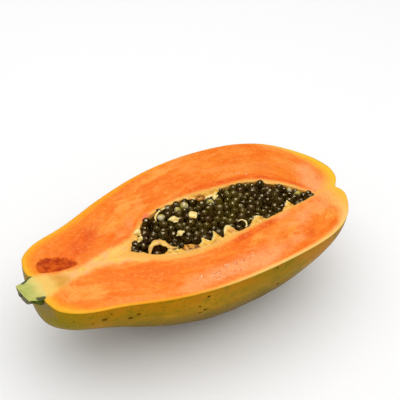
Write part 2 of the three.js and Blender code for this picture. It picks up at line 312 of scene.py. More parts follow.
# A dark hollow lies beside the core, steep where it meets it and shallow on its far side.
HOLLOW_LOW = np.array([[16, 12], [17.5, 8.6], [22.3, 6.3], [29.4, 4.0], [37.0, 2.9], [45.0, 2.4],
                       [48, 2.6]])
HOLLOW_TOP = np.array([[16, 12], [19.2, 19.5], [23.7, 21.3], [28, 20.2], [34.5, 18], [39.6, 14.2],
                       [44.4, 7.6], [48, 2.6]])
HOLLOW_DEPTH = 2.0
HOLLOW_WAVE = 1.6
flat_points = np.column_stack([flat, np.zeros(len(flat))])
wavy = wander(flat_points, 5, 2.2).reshape(face_x.shape)
above_low = face_y - np.interp(face_x, *HOLLOW_LOW.T)
below_top = np.interp(face_x, *HOLLOW_TOP.T) - face_y + wavy * HOLLOW_WAVE
hollow = smooth_step(above_low, -0.2, 3.2) * smooth_step(below_top, -1.5, 8)
hollow *= smooth_step(face_x, 16, 19.5) * (1 - smooth_step(face_x, 40, 48))
# Over the hollow the flesh is coloured a darker red-brown, crisp along the core and soft above.
hollow_darkening = smooth_step(above_low, -0.3, 0.9) * smooth_step(below_top, -1.2, 3.2)
hollow_darkening *= smooth_step(face_x, 15.5, 18) * (1 - smooth_step(face_x, 38, 48))


def blots(places, x, y):
    """Soft oval patches, each [x, y, length, width, turn, strength], laid over each other."""
    total = np.zeros(x.shape)
    for centre_x, centre_y, length, width, turn, strength in places:
        turn = math.radians(turn)
        run = (x - centre_x) * math.cos(turn) + (y - centre_y) * math.sin(turn)
        rise = (y - centre_y) * math.cos(turn) - (x - centre_x) * math.sin(turn)
        total += strength * np.exp(-(run / length) ** 2 - (rise / width) ** 2)
    return np.clip(total, 0, 1)


# Riper, redder flesh lies along the cavity and round the hollow.
RIPE_PLACES = [
    [34, 15, 16, 8, 0, 0.6], [57, 19, 20, 12, 20, 0.75], [62, 34, 12, 7, 30, 0.45],
    [74, 30, 14, 5, 24, 0.15], [66, -25, 22, 3.5, -14, 0.45], [92, -30, 14, 3, -10, 0.4],
    [34, -17, 14, 4, 0, 0.2], [106, -37, 24, 4, -14, 0.45], [207, -54, 9, 5, 45, 0.75],
    [182, -57, 8, 4, 20, 0.55], [183, -29, 9, 3, 12, 0.5], [158, -32.5, 8, 3, 10, 0.5],
    [228, 24, 16, 7, -48, 0.4], [196, 48, 40, 6, -10, 0.15],
]
ripe = blots(RIPE_PLACES, face_x, face_y)
# Banks of it follow the lining: [on the far side, x where it starts, is full, fades and ends,
# distance from the lining, width, strength].
RIPE_BANKS = [
    [True, 135, 168, 232, 246, 3.4, 3.8, 1.0],
    [False, 138, 160, 180, 206, 4.0, 3.6, 0.8],
    [True, 100, 125, 140, 165, 1.0, 3.0, 0.45],
]
for on_far, starts, full, fades, ends, distance, spread, strength in RIPE_BANKS:
    stretch = smooth_step(face_x, starts, full) * (1 - smooth_step(face_x, fades, ends))
    bank = strength * ((is_far == on_far)[:, None] * stretch)
    ripe = np.clip(ripe + bank * np.exp(-((to_lining - distance) / spread) ** 2), 0, 1)
# Paler, pinker flesh.
PINK_PLACES = [
    [136, -54, 40, 8, 0, 1.0], [160, -62, 26, 5, 14, 0.5], [194, -54, 8, 5, 0, 0.4],
    [247, -16, 12, 17, 0, 0.95], [236, -38, 9, 8, -40, 0.45], [214, -38, 15, 6, 26, 0.6],
    [254, 7, 8, 10, -30, 0.6], [96, 21, 7, 3.5, 50, 0.55], [78, 10, 12, 4, 30, 0.35],
    [186, 46, 34, 11, 0, 0.05], [112, 38, 30, 9, 14, 0.1], [109, 21, 6, 2.6, 30, 0.8],
    [200, -28.6, 9, 3.5, 15, 0.7],
]
pink = blots(PINK_PLACES, face_x, face_y)
# Yellower, softer flesh.
AMBER_PLACES = [
    [22, -10, 14, 4, -30, 0.8], [40, -22, 12, 4, -24, 0.5], [166, -40, 11, 4, 18, 1.0],
    [199, -42.5, 9, 4.5, 35, 0.9], [190, -50, 7, 3, 20, 0.5], [168, -55, 9, 4, 10, 0.6],
    [96, 39, 12, 6, 25, 0.7], [72, 24, 8, 4, 40, 0.4], [72, -16, 18, 3, -8, 0.5],
    [34, -22, 14, 4, 0, 0.8], [62, -34, 16, 3, -14, 0.2], [142, 60, 18, 7, 12, 0.8],
    [112, 46, 14, 6, 22, 0.6], [138, -33, 8, 3, 0, 0.5], [82, 27, 12, 7, 20, 0.7],
    [40, -29, 12, 4, -5, 0.7], [130, 34, 30, 7, 10, 0.5], [233, -43, 14, 9, -60, 0.9],
    [250, -22, 10, 10, 0, 0.5],
]
amber = blots(AMBER_PLACES, face_x, face_y)
# One salmon patch lies on the lining's far edge.
salmon = blots([[108.5, 21.4, 6.5, 3.0, 32, 1.0]], face_x, face_y)
# A paler streak joins the cavity's tip to the blossom scar.
streak = np.exp(-((face_y + 22.2) / 2.6) ** 2) * smooth_step(face_x, 238, 243)
# The stalk's green runs a little way into the flesh.
stalk_green = np.exp(-(np.hypot((face_x - 9) / 1.25, face_y + 2.5) / 11.5) ** 3.5)

# Relief of the cut, in heights and depths: rounded edges, fibres, the knife's waviness, the core,
# and a shallow recess beside it, which is given as for blots.
RIM_ROUNDING = 0.5
LINING_ROUNDING = 0.7
FIBRE_HEIGHT = 0.05
KNIFE_WAVE = 0.14
CORE_HEIGHT = 0.25
RECESS_DEPTH = 0.7
RECESS = [[23.8, -3.0, 11.0, 7.0, -18, 1.0]]
fibre = wander(flat_points * [0.35, 1, 1], 2.4, 6.0).reshape(face_x.shape)
broad = wander(flat_points, 22, 8.0).reshape(face_x.shape)
inside = smooth_step(to_rim, 0, 3) * smooth_step(to_cavity, 0, 2)
by_stub = np.exp(-(np.hypot(face_x - 10, face_y + 2.2) / 12) ** 4)
relief = -RIM_ROUNDING * np.exp(-(to_rim / 0.8) ** 1.5) * (1 - by_stub)
relief -= LINING_ROUNDING * np.exp(-(to_cavity / 1.1) ** 1.5)
relief += inside * (FIBRE_HEIGHT * fibre + KNIFE_WAVE * broad - KNIFE_WAVE)
relief += CORE_HEIGHT * (1 - smooth_step(core, -2.5, 0.5)) * inside
recess = blots(RECESS, face_x, face_y)
relief -= RECESS_DEPTH * smooth_step(recess, 0.15, 0.95)
relief -= HOLLOW_DEPTH * hollow * (0.85 + 0.15 * wavy)
face[..., 2] = np.minimum(relief, 0)
rim_drop = face[:, 0, 2].copy()
face[:, 0] = rim
face[:, 0, 2] = rim_drop
skin[:, 0, 2] += rim_drop[:STATIONS + 1]
skin[1:-1, -1, 2] += rim_drop[:STATIONS:-1]

# The cavity's wall goes down from the loop to the line along its floor.
bowl_angles = np.linspace(0, np.pi / 2, BOWL_STEPS + 1)[1:]
bowl_centre, bowl_half = cavity_at(cavity_loop[:, 0])
bowl = np.empty((loop_size, BOWL_STEPS, 3))
for step, angle in enumerate(bowl_angles):
    bowl[:, step, 0] = cavity_loop[:, 0]
    bowl[:, step, 1] = bowl_centre + (cavity_loop[:, 1] - bowl_centre) * math.cos(angle)
    bowl[:, step, 2] = face[:, -1, 2] - bowl_half * CAVITY_DEPTH_PER_HALF_WIDTH * math.sin(angle)

# The points of the whole body, and what the finishes read at each of them. Flow holds the distance
# from the stalk and from the rim, and a number that tells far flesh, near flesh and wall apart.
points = []
faces = []
face_kind = []
index_of = {}
FAR_OFF = 30.0
FAR_FLOW = 0.0
WALL_FLOW = 3.0
NEAR_FLOW = 7.0
SKIN_KIND = 0
FLESH_KIND = 1
layers = {key: [] for key in ("rim_band", "to_lining", "core", "hollow", "ripe", "pink", "streak",
                              "stalk_green", "below_rim", "blossom", "recess", "salmon", "amber")}
flow = []


def add_point(key, position, **values):
    """Adds a point once, however many faces share it."""
    if key not in index_of:
        index_of[key] = len(points)
        points.append(position)
        for name, layer in layers.items():
            layer.append(values.get(name, 0.0))
        flow.append(values.get("flow", (0.0, 0.0, 0.0)))
    return index_of[key]


def skin_key(station, step):
    """The name of a point on the skin, shared with the cut along the rim and at both ends."""
    if station in (0, STATIONS):
        return ("rim", 0 if station == 0 else STATIONS)
    if step == 0:
        return ("rim", station)
    if step == SKIN_STEPS:
        return ("rim", loop_size - station)
    return ("skin", station, step)


def face_key(place, step):
    """The name of a point on the cut, from the rim inwards."""
    return ("rim", place) if step == 0 else ("face", place, step)


def bowl_key(place, step):
    """The name of a point on the cavity's wall, from the edge down."""
    if step < 0 or place in (0, STATIONS):
        return ("face", place, FACE_STEPS)
    if step == BOWL_STEPS - 1:
        return ("floor", min(place, loop_size - place))
    return ("bowl", place, step)


# A grey scuff where the stalk meets the skin on the near side.
SCUFF_AT = (9.0, -17.0, -7.0)
SCUFF_SIZE = 8.5

# The rim band is paler at the far blossom lobe, and cream along the near rim from the cavity on: partly the
# pale rind, partly a painted highlight on the rounded near edge.
near_cream_and_highlight = smooth_step(face_x, 85, 155) * (1 - 0.55 * smooth_step(face_x, 240, 260))
blossom_face = 0.5 * smooth_step(face_x, 232, 262) * (1 - nearness) + near_cream_and_highlight * nearness
for place in range(loop_size):
    for step in range(FACE_STEPS + 1):
        add_point(
            face_key(place, step), face[place, step],
            rim_band=rim_band[place, step], to_lining=to_lining[place, step],
            core=core[place, step], hollow=hollow_darkening[place, step], ripe=ripe[place, step],
            pink=pink[place, step], streak=streak[place, step],
            stalk_green=stalk_green[place, step], blossom=blossom_face[place, step],
            recess=recess[place, step], salmon=salmon[place, step], amber=amber[place, step],
            flow=(face_x[place, step], to_rim[place, step], FAR_FLOW if is_far[place] else NEAR_FLOW),
        )
    for step in range(BOWL_STEPS):
        add_point(bowl_key(place, step), bowl[place, step], to_lining=-9.0, core=FAR_OFF, rim_band=20.0,
                  flow=(bowl[place, step, 0], bowl[place, step, 2], WALL_FLOW))
# Along the near rim the skin's cut edge is marked pale, most of all from the middle on: partly the pale
# outer rind, partly a painted highlight.
for station in range(STATIONS + 1):
    for step in range(SKIN_STEPS + 1):
        position = skin[station, step]
        scuff = math.dist(position, SCUFF_AT) / SCUFF_SIZE
        add_point(skin_key(station, step), position, below_rim=-position[2], to_lining=FAR_OFF,
                  core=FAR_OFF, rim_band=0.0, stalk_green=math.exp(-scuff ** 3),
                  blossom=float(0.2 + 0.8 * smooth_step(position[0], 70, 160)) * (position[1] < 0),
                  flow=(position[0], -position[2], FAR_FLOW))


def add_face(keys, kind):
    """Adds a face between named points, and skips it where they run together."""
    corners = []
    for key in keys:
        corner = index_of[key]
        if corner not in corners:
            corners.append(corner)
    if len(corners) > 2:
        faces.append(corners)
        face_kind.append(kind)


for place in range(loop_size):
    after = (place + 1) % loop_size
    for step in range(FACE_STEPS):
        add_face([face_key(place, step), face_key(after, step),
                  face_key(after, step + 1), face_key(place, step + 1)], FLESH_KIND)
    for step in range(-1, BOWL_STEPS - 1):
        add_face([bowl_key(place, step), bowl_key(after, step),
                  bowl_key(after, step + 1), bowl_key(place, step + 1)], FLESH_KIND)
for station in range(STATIONS):
    for step in range(SKIN_STEPS):
        add_face([skin_key(station, step), skin_key(station, step + 1),
                  skin_key(station + 1, step + 1), skin_key(station + 1, step)], SKIN_KIND)

layers["flow"] = flow
papaya_half = make_piece("papaya_half", points, faces, layers, face_kind)


def colour(red, green, blue):
    """A screen colour as the shaders want it."""
    def linear(level):
        level /= 255
        return level / 12.92 if level <= 0.04045 else ((level + 0.055) / 1.055) ** 2.4
    return (linear(red), linear(green), linear(blue), 1.0)


def put(tree, kind, values=None, **settings):
    """A node with its settings, and its inputs set or linked."""
    made = tree.nodes.new(kind)
    for key, value in settings.items():
        setattr(made, key, value)
    for key, value in (values or {}).items():
        socket = next(s for s in made.inputs if s.enabled and key in (s.identifier, s.name))
        if isinstance(value, bpy.types.NodeSocket):
            tree.links.new(value, socket)
        else:
            socket.default_value = value
    return made


def out(made, name=None):
    """A node's output of that name, or its first."""
    return next(s for s in made.outputs if s.enabled and name in (None, s.name))


def mixed(tree, factor, first, second):
    """The first colour where the factor is 0, and the second where it is 1."""
    return out(put(tree, "ShaderNodeMix", {"Factor": factor, "A": first, "B": second},
                   data_type="RGBA"))


def ramped(tree, value, low, high, start=0.0, end=1.0):
    """Goes smoothly from start to end as the value goes from low to high."""
    return out(put(tree, "ShaderNodeMapRange", {"Value": value, "From Min": low, "From Max": high,
                                                "To Min": start, "To Max": end},
                   interpolation_type="SMOOTHSTEP"))


def tinted(tree, tone, value, low, high, most, tint):
    """Lays a tint over the tone as the value goes from low to high, at most that strongly."""
    return mixed(tree, ramped(tree, value, low, high, 0.0, most), tone, tint)


def sums(tree, how, first, second):
    """The sum, difference or product of two values."""
    made = put(tree, "ShaderNodeMath", operation=how)
    for socket, value in zip(made.inputs, (first, second)):
        if isinstance(value, bpy.types.NodeSocket):
            tree.links.new(value, socket)
        else:
            socket.default_value = value
    return made.outputs[0]


def layer_of(tree, name, output="Fac"):
    """What the mesh carries under that name at each point."""
    return out(put(tree, "ShaderNodeAttribute", attribute_name=name), output)


def grain(tree, vector, scale, detail=3.0, roughness=0.55, distortion=0.0):
    """Smooth noise around 0.5."""
    return out(put(tree, "ShaderNodeTexNoise", {
        "Vector": vector, "Scale": scale, "Detail": detail, "Roughness": roughness,
        "Distortion": distortion}), "Fac")


def stretched(tree, vector, scale):
    """The vector with each of its axes scaled."""
    return out(put(tree, "ShaderNodeMapping", {"Vector": vector, "Scale": scale}))


def new_material(name, **settings):
    """A material, its tree, its shader with the inputs set, and where a point is on the object."""
    made = bpy.data.materials.new(name)
    made.use_nodes = True
    tree = made.node_tree
    shader = tree.nodes["Principled BSDF"]
    for key, value in settings.items():
        shader.inputs[key.replace("_", " ")].default_value = value
    return made, tree, shader, out(put(tree, "ShaderNodeTexCoord"), "Object")


def link(tree, value, shader, name):
    """Joins a value or colour to the shader's input of that name."""
    tree.links.new(value, shader.inputs[name])


def bumped(tree, shader, height, distance):
    """Fine relief of the finish, as deep as the distance in metres."""
    bump = put(tree, "ShaderNodeBump", {"Height": height, "Distance": distance, "Strength": 1.0})
    link(tree, bump.outputs[0], shader, "Normal")


# Moist fibre: fine streaks that run the way that the flesh grew, and their relief. The flesh, the
# lining and the stalk all show it.
moist_fibre = bpy.data.node_groups.new("moist fibre", "ShaderNodeTree")
for name, kind, value in (("Vector", "NodeSocketVector", None), ("Along", "NodeSocketFloat", 0.03),
                          ("Across", "NodeSocketFloat", 0.4)):
    socket = moist_fibre.interface.new_socket(name, in_out="INPUT", socket_type=kind)
    if value is not None:
        socket.default_value = value
for name in ("Streaks", "Height"):
    moist_fibre.interface.new_socket(name, in_out="OUTPUT", socket_type="NodeSocketFloat")
inlet = moist_fibre.nodes.new("NodeGroupInput")
outlet = moist_fibre.nodes.new("NodeGroupOutput")
axes = put(moist_fibre, "ShaderNodeCombineXYZ", {
    "X": inlet.outputs["Along"], "Y": inlet.outputs["Across"], "Z": inlet.outputs["Across"]})
scaled = put(moist_fibre, "ShaderNodeVectorMath", {"Vector": inlet.outputs["Vector"]}, operation="MULTIPLY")
moist_fibre.links.new(axes.outputs[0], scaled.inputs[1])
streaks = grain(moist_fibre, scaled.outputs[0], 1.0, 4.0, 0.6, 0.6)
specks = grain(moist_fibre, scaled.outputs[0], 5.0, 2.0, 0.5)
moist_fibre.links.new(ramped(moist_fibre, streaks, 0.3, 0.7), outlet.inputs["Streaks"])
moist_fibre.links.new(sums(moist_fibre, "ADD", streaks, sums(moist_fibre, "MULTIPLY", specks, 0.5)),
                      outlet.inputs["Height"])


def fibre_in(tree, vector, along, across):
    """The moist fibre placed in a material, with its own values."""
    made = tree.nodes.new("ShaderNodeGroup")
    made.node_tree = moist_fibre
    tree.links.new(vector, made.inputs["Vector"])
    made.inputs["Along"].default_value = along
    made.inputs["Across"].default_value = across
    return made


# Flesh: orange, redder where it is riper, with a yellow band under the skin and a cream lining.
flesh, tree, shader, where = new_material(
    "papaya flesh", Roughness=0.4, Specular_IOR_Level=0.2, Specular_Tint=(1.0, 0.8, 0.55, 1.0),
    Subsurface_Weight=0.12, Subsurface_Scale=0.002, Subsurface_Radius=(1.0, 0.45, 0.12))
run = layer_of(tree, "flow", "Vector")
fibre_flesh = fibre_in(tree, run, 0.045, 0.32)
cloud = grain(tree, where, 45.0, 3.0, 0.6)
mottle = grain(tree, stretched(tree, run, (0.5, 1.0, 1.0)), 0.17, 4.0, 0.7)
fleck = grain(tree, where, 420.0, 2.0, 0.6)
tone = mixed(tree, ramped(tree, cloud, 0.35, 0.65), colour(248, 120, 16), colour(251, 138, 32))
tone = mixed(tree, sums(tree, "MULTIPLY", fibre_flesh.outputs["Streaks"], 0.6), tone, colour(244, 102, 6))
tone = tinted(tree, tone, mottle, 0.42, 0.66, 0.4, colour(254, 156, 50))
patchy = grain(tree, stretched(tree, run, (0.42, 1.0, 1.0)), 0.078, 2.0, 0.5, 0.6)
tone = tinted(tree, tone, patchy, 0.5, 0.68, 0.5, colour(253, 156, 60))
tone = tinted(tree, tone, patchy, 0.46, 0.3, 0.45, colour(242, 102, 8))
smudged = sums(tree, "SUBTRACT", sums(tree, "ADD", patchy, mottle), 1.0)
amber_patch = ramped(tree, sums(tree, "ADD", layer_of(tree, "amber"), smudged), 0.25, 0.75, 0.0, 0.85)
amber_tone = mixed(tree, ramped(tree, mottle, 0.4, 0.6), colour(250, 146, 42), colour(253, 166, 70))
tone = mixed(tree, amber_patch, tone, amber_tone)
speckle = ramped(tree, grain(tree, where, 620.0, 3.0, 0.7), 0.5, 0.66, 0.0, 0.5)
tone = mixed(tree, sums(tree, "MULTIPLY", speckle, 0.5), tone, colour(240, 112, 26))
pinkish = ramped(tree, sums(tree, "ADD", layer_of(tree, "pink"), smudged), 0.0, 0.9)
pink_tone = mixed(tree, speckle, colour(253, 164, 98), colour(240, 122, 62))
tone = mixed(tree, pinkish, tone, pink_tone)
ripeness = sums(tree, "ADD", layer_of(tree, "ripe"), sums(tree, "MULTIPLY", smudged, 1.2))
ripe_tone = mixed(tree, ramped(tree, mottle, 0.35, 0.65), colour(226, 78, 2), colour(248, 114, 18))
tone = tinted(tree, tone, ripeness, 0.16, 0.95, 1.0, ripe_tone)
blotch = grain(tree, where, 300.0, 3.0, 0.75)
tone = tinted(tree, tone, blotch, 0.52, 0.68, 0.3, colour(232, 88, 8))
tone = tinted(tree, tone, blotch, 0.46, 0.34, 0.25, colour(255, 166, 84))
tone = tinted(tree, tone, fleck, 0.6, 0.75, 0.35, colour(255, 186, 112))
tone = tinted(tree, tone, layer_of(tree, "streak"), 0.1, 1.0, 0.7, colour(252, 168, 66))
wavering = sums(tree, "SUBTRACT", sums(tree, "MULTIPLY", grain(tree, where, 160.0), 2.4), 1.2)
core_fray = sums(tree, "SUBTRACT", grain(tree, where, 110.0, 3.0, 0.7), 0.5)
core_edge = sums(tree, "ADD", layer_of(tree, "core"), sums(tree, "MULTIPLY", core_fray, 6.5))
core_cloud = ramped(tree, grain(tree, where, 140.0, 3.0, 0.6), 0.44, 0.6)
core_tone = mixed(tree, fibre_flesh.outputs["Streaks"], colour(252, 204, 104), colour(240, 180, 74))
core_tone = mixed(tree, core_cloud, core_tone, colour(253, 186, 116))
tone = tinted(tree, tone, core_edge, 2.4, -3.0, 0.92, core_tone)
tone = tinted(tree, tone, layer_of(tree, "recess"), 0.2, 0.8, 0.9, colour(222, 154, 54))
lining_edge = sums(tree, "ADD", layer_of(tree, "to_lining"), sums(tree, "MULTIPLY", wavering, 0.7))
tone = tinted(tree, tone, lining_edge, 3.2, -1.4, 0.94, colour(246, 178, 82))
# The flesh over the hollow turns a darker, mottled red-brown.
hollow_fray = sums(tree, "SUBTRACT", grain(tree, where, 260.0, 3.0, 0.7), 0.5)
darker_over_hollow = sums(tree, "ADD", layer_of(tree, "hollow"), sums(tree, "MULTIPLY", hollow_fray, 1.5))
hollow_cloud = ramped(tree, grain(tree, where, 170.0, 3.0, 0.7), 0.38, 0.62)
hollow_tone = mixed(tree, hollow_cloud, colour(168, 42, 0), colour(214, 88, 12))
tone = tinted(tree, tone, darker_over_hollow, 0.2, 0.75, 0.94, hollow_tone)
tone = tinted(tree, tone, layer_of(tree, "salmon"), 0.3, 0.8, 0.85, colour(244, 116, 74))
yellow = mixed(tree, layer_of(tree, "blossom"), colour(248, 162, 22), colour(252, 202, 112))
from_stalk = put(tree, "ShaderNodeSeparateXYZ", {"Vector": run}).outputs["X"]
yellow = mixed(tree, ramped(tree, from_stalk, 248.0, 268.0), yellow, colour(247, 194, 42))
band_edge = sums(tree, "ADD", layer_of(tree, "rim_band"), sums(tree, "MULTIPLY", wavering, 0.12))
tone = tinted(tree, tone, band_edge, 1.25, 0.1, 1.0, yellow)
by_stalk = ramped(tree, from_stalk, 90.0, 20.0, 0.0, 0.8)
stalk_yellow = sums(tree, "MULTIPLY", ramped(tree, band_edge, 0.6, 0.05), by_stalk)
tone = mixed(tree, stalk_yellow, tone, colour(246, 184, 36))
greenish = sums(tree, "ADD", layer_of(tree, "stalk_green"), sums(tree, "MULTIPLY", wavering, 0.1))
tone = tinted(tree, tone, greenish, 0.1, 0.75, 0.9, colour(242, 200, 104))
link(tree, tone, shader, "Base Color")
wet = grain(tree, where, 90.0, 2.0)
dull = ramped(tree, layer_of(tree, "hollow"), 0.1, 0.6, 0.0, 0.45)
link(tree, sums(tree, "ADD", dull, ramped(tree, wet, 0.35, 0.65, 0.28, 0.5)), shader, "Roughness")
rough_height = sums(tree, "ADD", sums(tree, "MULTIPLY", fibre_flesh.outputs["Height"], 0.25),
                    grain(tree, where, 380.0, 4.0, 0.65))
bumped(tree, shader, rough_height, 0.0007)

# Skin: waxy yellow, clouded with the green that has not turned yet, with painted shade that darkens it
# towards the underside.
skin_wax, tree, shader, where = new_material(
    "papaya skin", Roughness=0.45, Specular_IOR_Level=0.04, Specular_Tint=(1.0, 0.8, 0.35, 1.0))
run = layer_of(tree, "flow", "Vector")
cloud = grain(tree, stretched(tree, where, (0.5, 1.0, 1.0)), 26.0, 4.0, 0.6, 0.4)
patch = grain(tree, stretched(tree, where, (0.4, 1.0, 1.0)), 40.0, 3.0, 0.6, 0.8)
freckle = grain(tree, where, 520.0, 2.0, 0.5)
cloudy_depth = sums(tree, "ADD", layer_of(tree, "below_rim"), ramped(tree, cloud, 0.3, 0.7, -7.0, 7.0))
tone = mixed(tree, ramped(tree, cloudy_depth, 0.0, 24.0), colour(184, 122, 0), colour(160, 124, 0))
tone = tinted(tree, tone, patch, 0.5, 0.7, 0.55, colour(124, 116, 4))
from_stalk = put(tree, "ShaderNodeSeparateXYZ", {"Vector": run}).outputs["X"]
tone = tinted(tree, tone, from_stalk, 44.0, 14.0, 0.65, colour(134, 126, 4))
tone = tinted(tree, tone, patch, 0.45, 0.3, 0.5, colour(196, 142, 6))
skin_mottle = grain(tree, stretched(tree, where, (0.7, 1.0, 1.0)), 170.0, 4.0, 0.7)
tone = tinted(tree, tone, skin_mottle, 0.48, 0.64, 0.6, colour(126, 106, 0))
tone = tinted(tree, tone, skin_mottle, 0.46, 0.34, 0.6, colour(176, 106, 2))
tone = tinted(tree, tone, freckle, 0.56, 0.72, 0.35, colour(112, 92, 4))
# Painted shade: the skin turns dark olive-brown further below the rim, where less light falls.
tone = tinted(tree, tone, layer_of(tree, "below_rim"), 15.0, 40.0, 0.75, colour(94, 76, 8))
scratches = ramped(tree, grain(tree, where, 180.0, 4.0, 0.7), 0.3, 0.7, -0.45, 0.3)
scuffed = sums(tree, "ADD", layer_of(tree, "stalk_green"), scratches)
scuff_tone = mixed(tree, ramped(tree, freckle, 0.4, 0.6), colour(128, 104, 44), colour(150, 124, 76))
tone = tinted(tree, tone, scuffed, 0.15, 0.9, 0.75, scuff_tone)
# The skin's cut edge is orange-yellow, and pale cream along the near rim: partly the pale outer rind,
# partly a painted highlight.
rim_edge_and_highlight = mixed(tree, layer_of(tree, "blossom"), colour(240, 160, 40), colour(253, 220, 142))
tone = tinted(tree, tone, layer_of(tree, "below_rim"), 1.2, 0.1, 1.0, rim_edge_and_highlight)
link(tree, tone, shader, "Base Color")
link(tree, ramped(tree, patch, 0.3, 0.7, 0.32, 0.46), shader, "Roughness")
skin_height = sums(tree, "ADD", grain(tree, where, 240.0, 4.0, 0.6), sums(tree, "MULTIPLY", freckle, 0.4))
bumped(tree, shader, skin_height, 0.00025)

papaya_half.data.materials.append(skin_wax)
papaya_half.data.materials.append(flesh)
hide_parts("fruit_half")
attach(papaya_half, "root")

# ---- Skin specks ----
# Small scars and dark pinpricks that insects and rubbing leave on the skin of every papaya.
# They are thin brown crusts, part of the skin itself, and lie flat on it.

# Listed specks: [distance from the stalk, share of the way from far rim to near rim, size].
SPECKS_AT = [
    [39.2, 0.940, 1.35], [43.0, 0.972, 0.7], [55.7, 0.925, 1.3], [60.0, 0.950, 1.25], [20.5, 0.930, 0.6],
    [107.4, 0.977, 1.2], [101.4, 0.948, 0.9], [106.2, 0.920, 1.15], [103.0, 0.906, 0.9],
    [163.0, 0.986, 0.9], [169.0, 0.908, 1.1], [128.0, 0.930, 0.5], [76.0, 0.955, 0.5],
]
LOOSE_SPECKS = 90
SPECK_LENGTH = 1.35
SPECK_WIDTH = 0.95
SPECK_HEIGHT = 0.16
# No speck sits on the first stations, where the skin curls in under the stalk.
STALK_STATIONS = 12


def scatter_tree(name, finish, segments, rings):
    """A node tree that puts a small egg-shaped body on every point and makes one mesh of them."""
    made = bpy.data.node_groups.new(name, "GeometryNodeTree")
    made.interface.new_socket("Geometry", in_out="INPUT", socket_type="NodeSocketGeometry")
    for size, value in (("Length", 0.001), ("Width", 0.001), ("Height", 0.001), ("Taper", 0.0),
                        ("Uneven", 0.1)):
        socket = made.interface.new_socket(size, in_out="INPUT", socket_type="NodeSocketFloat")
        socket.default_value = value
    made.interface.new_socket("Seed", in_out="INPUT", socket_type="NodeSocketInt")
    made.interface.new_socket("Geometry", in_out="OUTPUT", socket_type="NodeSocketGeometry")
    inlet = made.nodes.new("NodeGroupInput")
    outlet = made.nodes.new("NodeGroupOutput")
    ball = put(made, "GeometryNodeMeshUVSphere", {"Segments": segments, "Rings": rings, "Radius": 1.0})
    place = put(made, "GeometryNodeInputPosition")
    split = put(made, "ShaderNodeSeparateXYZ", {"Vector": place.outputs[0]})
    taper = sums(made, "SUBTRACT", 1.0, sums(made, "MULTIPLY", split.outputs["X"], inlet.outputs["Taper"]))
    wide = sums(made, "MULTIPLY", split.outputs["Y"], taper)
    high = sums(made, "MULTIPLY", split.outputs["Z"], taper)
    egg = put(made, "ShaderNodeCombineXYZ", {
        "X": sums(made, "MULTIPLY", split.outputs["X"], inlet.outputs["Length"]),
        "Y": sums(made, "MULTIPLY", wide, inlet.outputs["Width"]),
        "Z": sums(made, "MULTIPLY", high, inlet.outputs["Height"]),
    })
    shaped = put(made, "GeometryNodeSetPosition", {
        "Geometry": ball.outputs["Mesh"], "Position": egg.outputs[0]})
    body = put(made, "GeometryNodeSetShadeSmooth", {"Geometry": shaped.outputs[0]})
    cast_draw = put(made, "FunctionNodeRandomValue", {"Seed": inlet.outputs["Seed"]}, data_type="FLOAT")
    size_draw = put(made, "FunctionNodeRandomValue", {
        "Min": sums(made, "SUBTRACT", 1.0, inlet.outputs["Uneven"]),
        "Max": sums(made, "ADD", 1.0, inlet.outputs["Uneven"]),
        "Seed": sums(made, "ADD", inlet.outputs["Seed"], 1.0)}, data_type="FLOAT")
    chosen = put(made, "GeometryNodeInputNamedAttribute", {"Name": "size"}, data_type="FLOAT")
    facing = put(made, "GeometryNodeInputNamedAttribute", {"Name": "facing"}, data_type="FLOAT_VECTOR")
    spread = put(made, "GeometryNodeInstanceOnPoints", {
        "Points": inlet.outputs["Geometry"],
        "Instance": body.outputs[0],
        "Rotation": out(facing, "Attribute"),
        "Scale": sums(made, "MULTIPLY", out(chosen, "Attribute"), out(size_draw)),
    })
    marked = put(made, "GeometryNodeStoreNamedAttribute", {
        "Geometry": spread.outputs[0], "Name": "cast", "Value": out(cast_draw)},
        data_type="FLOAT", domain="INSTANCE")
    real = put(made, "GeometryNodeRealizeInstances", {"Geometry": marked.outputs[0]})
    done = put(made, "GeometryNodeSetMaterial", {"Geometry": real.outputs[0], "Material": finish})
    made.links.new(done.outputs[0], outlet.inputs[0])
    return made


def scattered(name, spots, attributes, tree, values):
    """A plain mesh piece grown by a node tree from millimetre spots with their own attributes."""
    mesh = new_mesh(name + " spots", spots, [], attributes)
    piece = bpy.data.objects.new(name, mesh)
    bpy.context.scene.collection.objects.link(piece)
    modifier = piece.modifiers.new(tree.name, "NODES")
    modifier.node_group = tree
    for item in tree.interface.items_tree:
        if item.in_out == "INPUT" and item.name in values:
            modifier[item.identifier] = values[item.name]
    depsgraph = bpy.context.evaluated_depsgraph_get()
    piece.data = bpy.data.meshes.new_from_object(piece.evaluated_get(depsgraph), depsgraph=depsgraph)
    piece.data.name = name
    piece.modifiers.clear()
    return piece


skin_facing = np.cross(np.gradient(skin, axis=1), np.gradient(skin, axis=0))
skin_facing /= np.maximum(np.linalg.norm(skin_facing, axis=2, keepdims=True), 1e-9)
draw = np.random.default_rng(23)
speck_rows = list(SPECKS_AT)
speck_rows += [[draw.uniform(14, 262), draw.uniform(0.03, 0.97), draw.uniform(0.25, 0.85)]
               for speck in range(LOOSE_SPECKS)]
speck_spots = []
speck_facing = []
for x, share, size in speck_rows:
    station = STALK_STATIONS + int(np.argmin(np.abs(stations[STALK_STATIONS:, 0] - x)))
    step = int(np.argmin(np.abs(skin_angles - share * math.pi)))
    speck_spots.append(skin[station, step])
    turned = Vector(skin_facing[station, step]).to_track_quat("Z", "Y")
    speck_facing.append(tuple(turned.to_euler()))
crust, tree, shader, where = new_material("speck crust", Roughness=0.7, Specular_IOR_Level=0.02)
tone = mixed(tree, grain(tree, where, 900.0), colour(60, 40, 0), colour(90, 62, 0))
tone = tinted(tree, tone, layer_of(tree, "cast"), 0.6, 0.9, 0.6, colour(120, 70, 0))
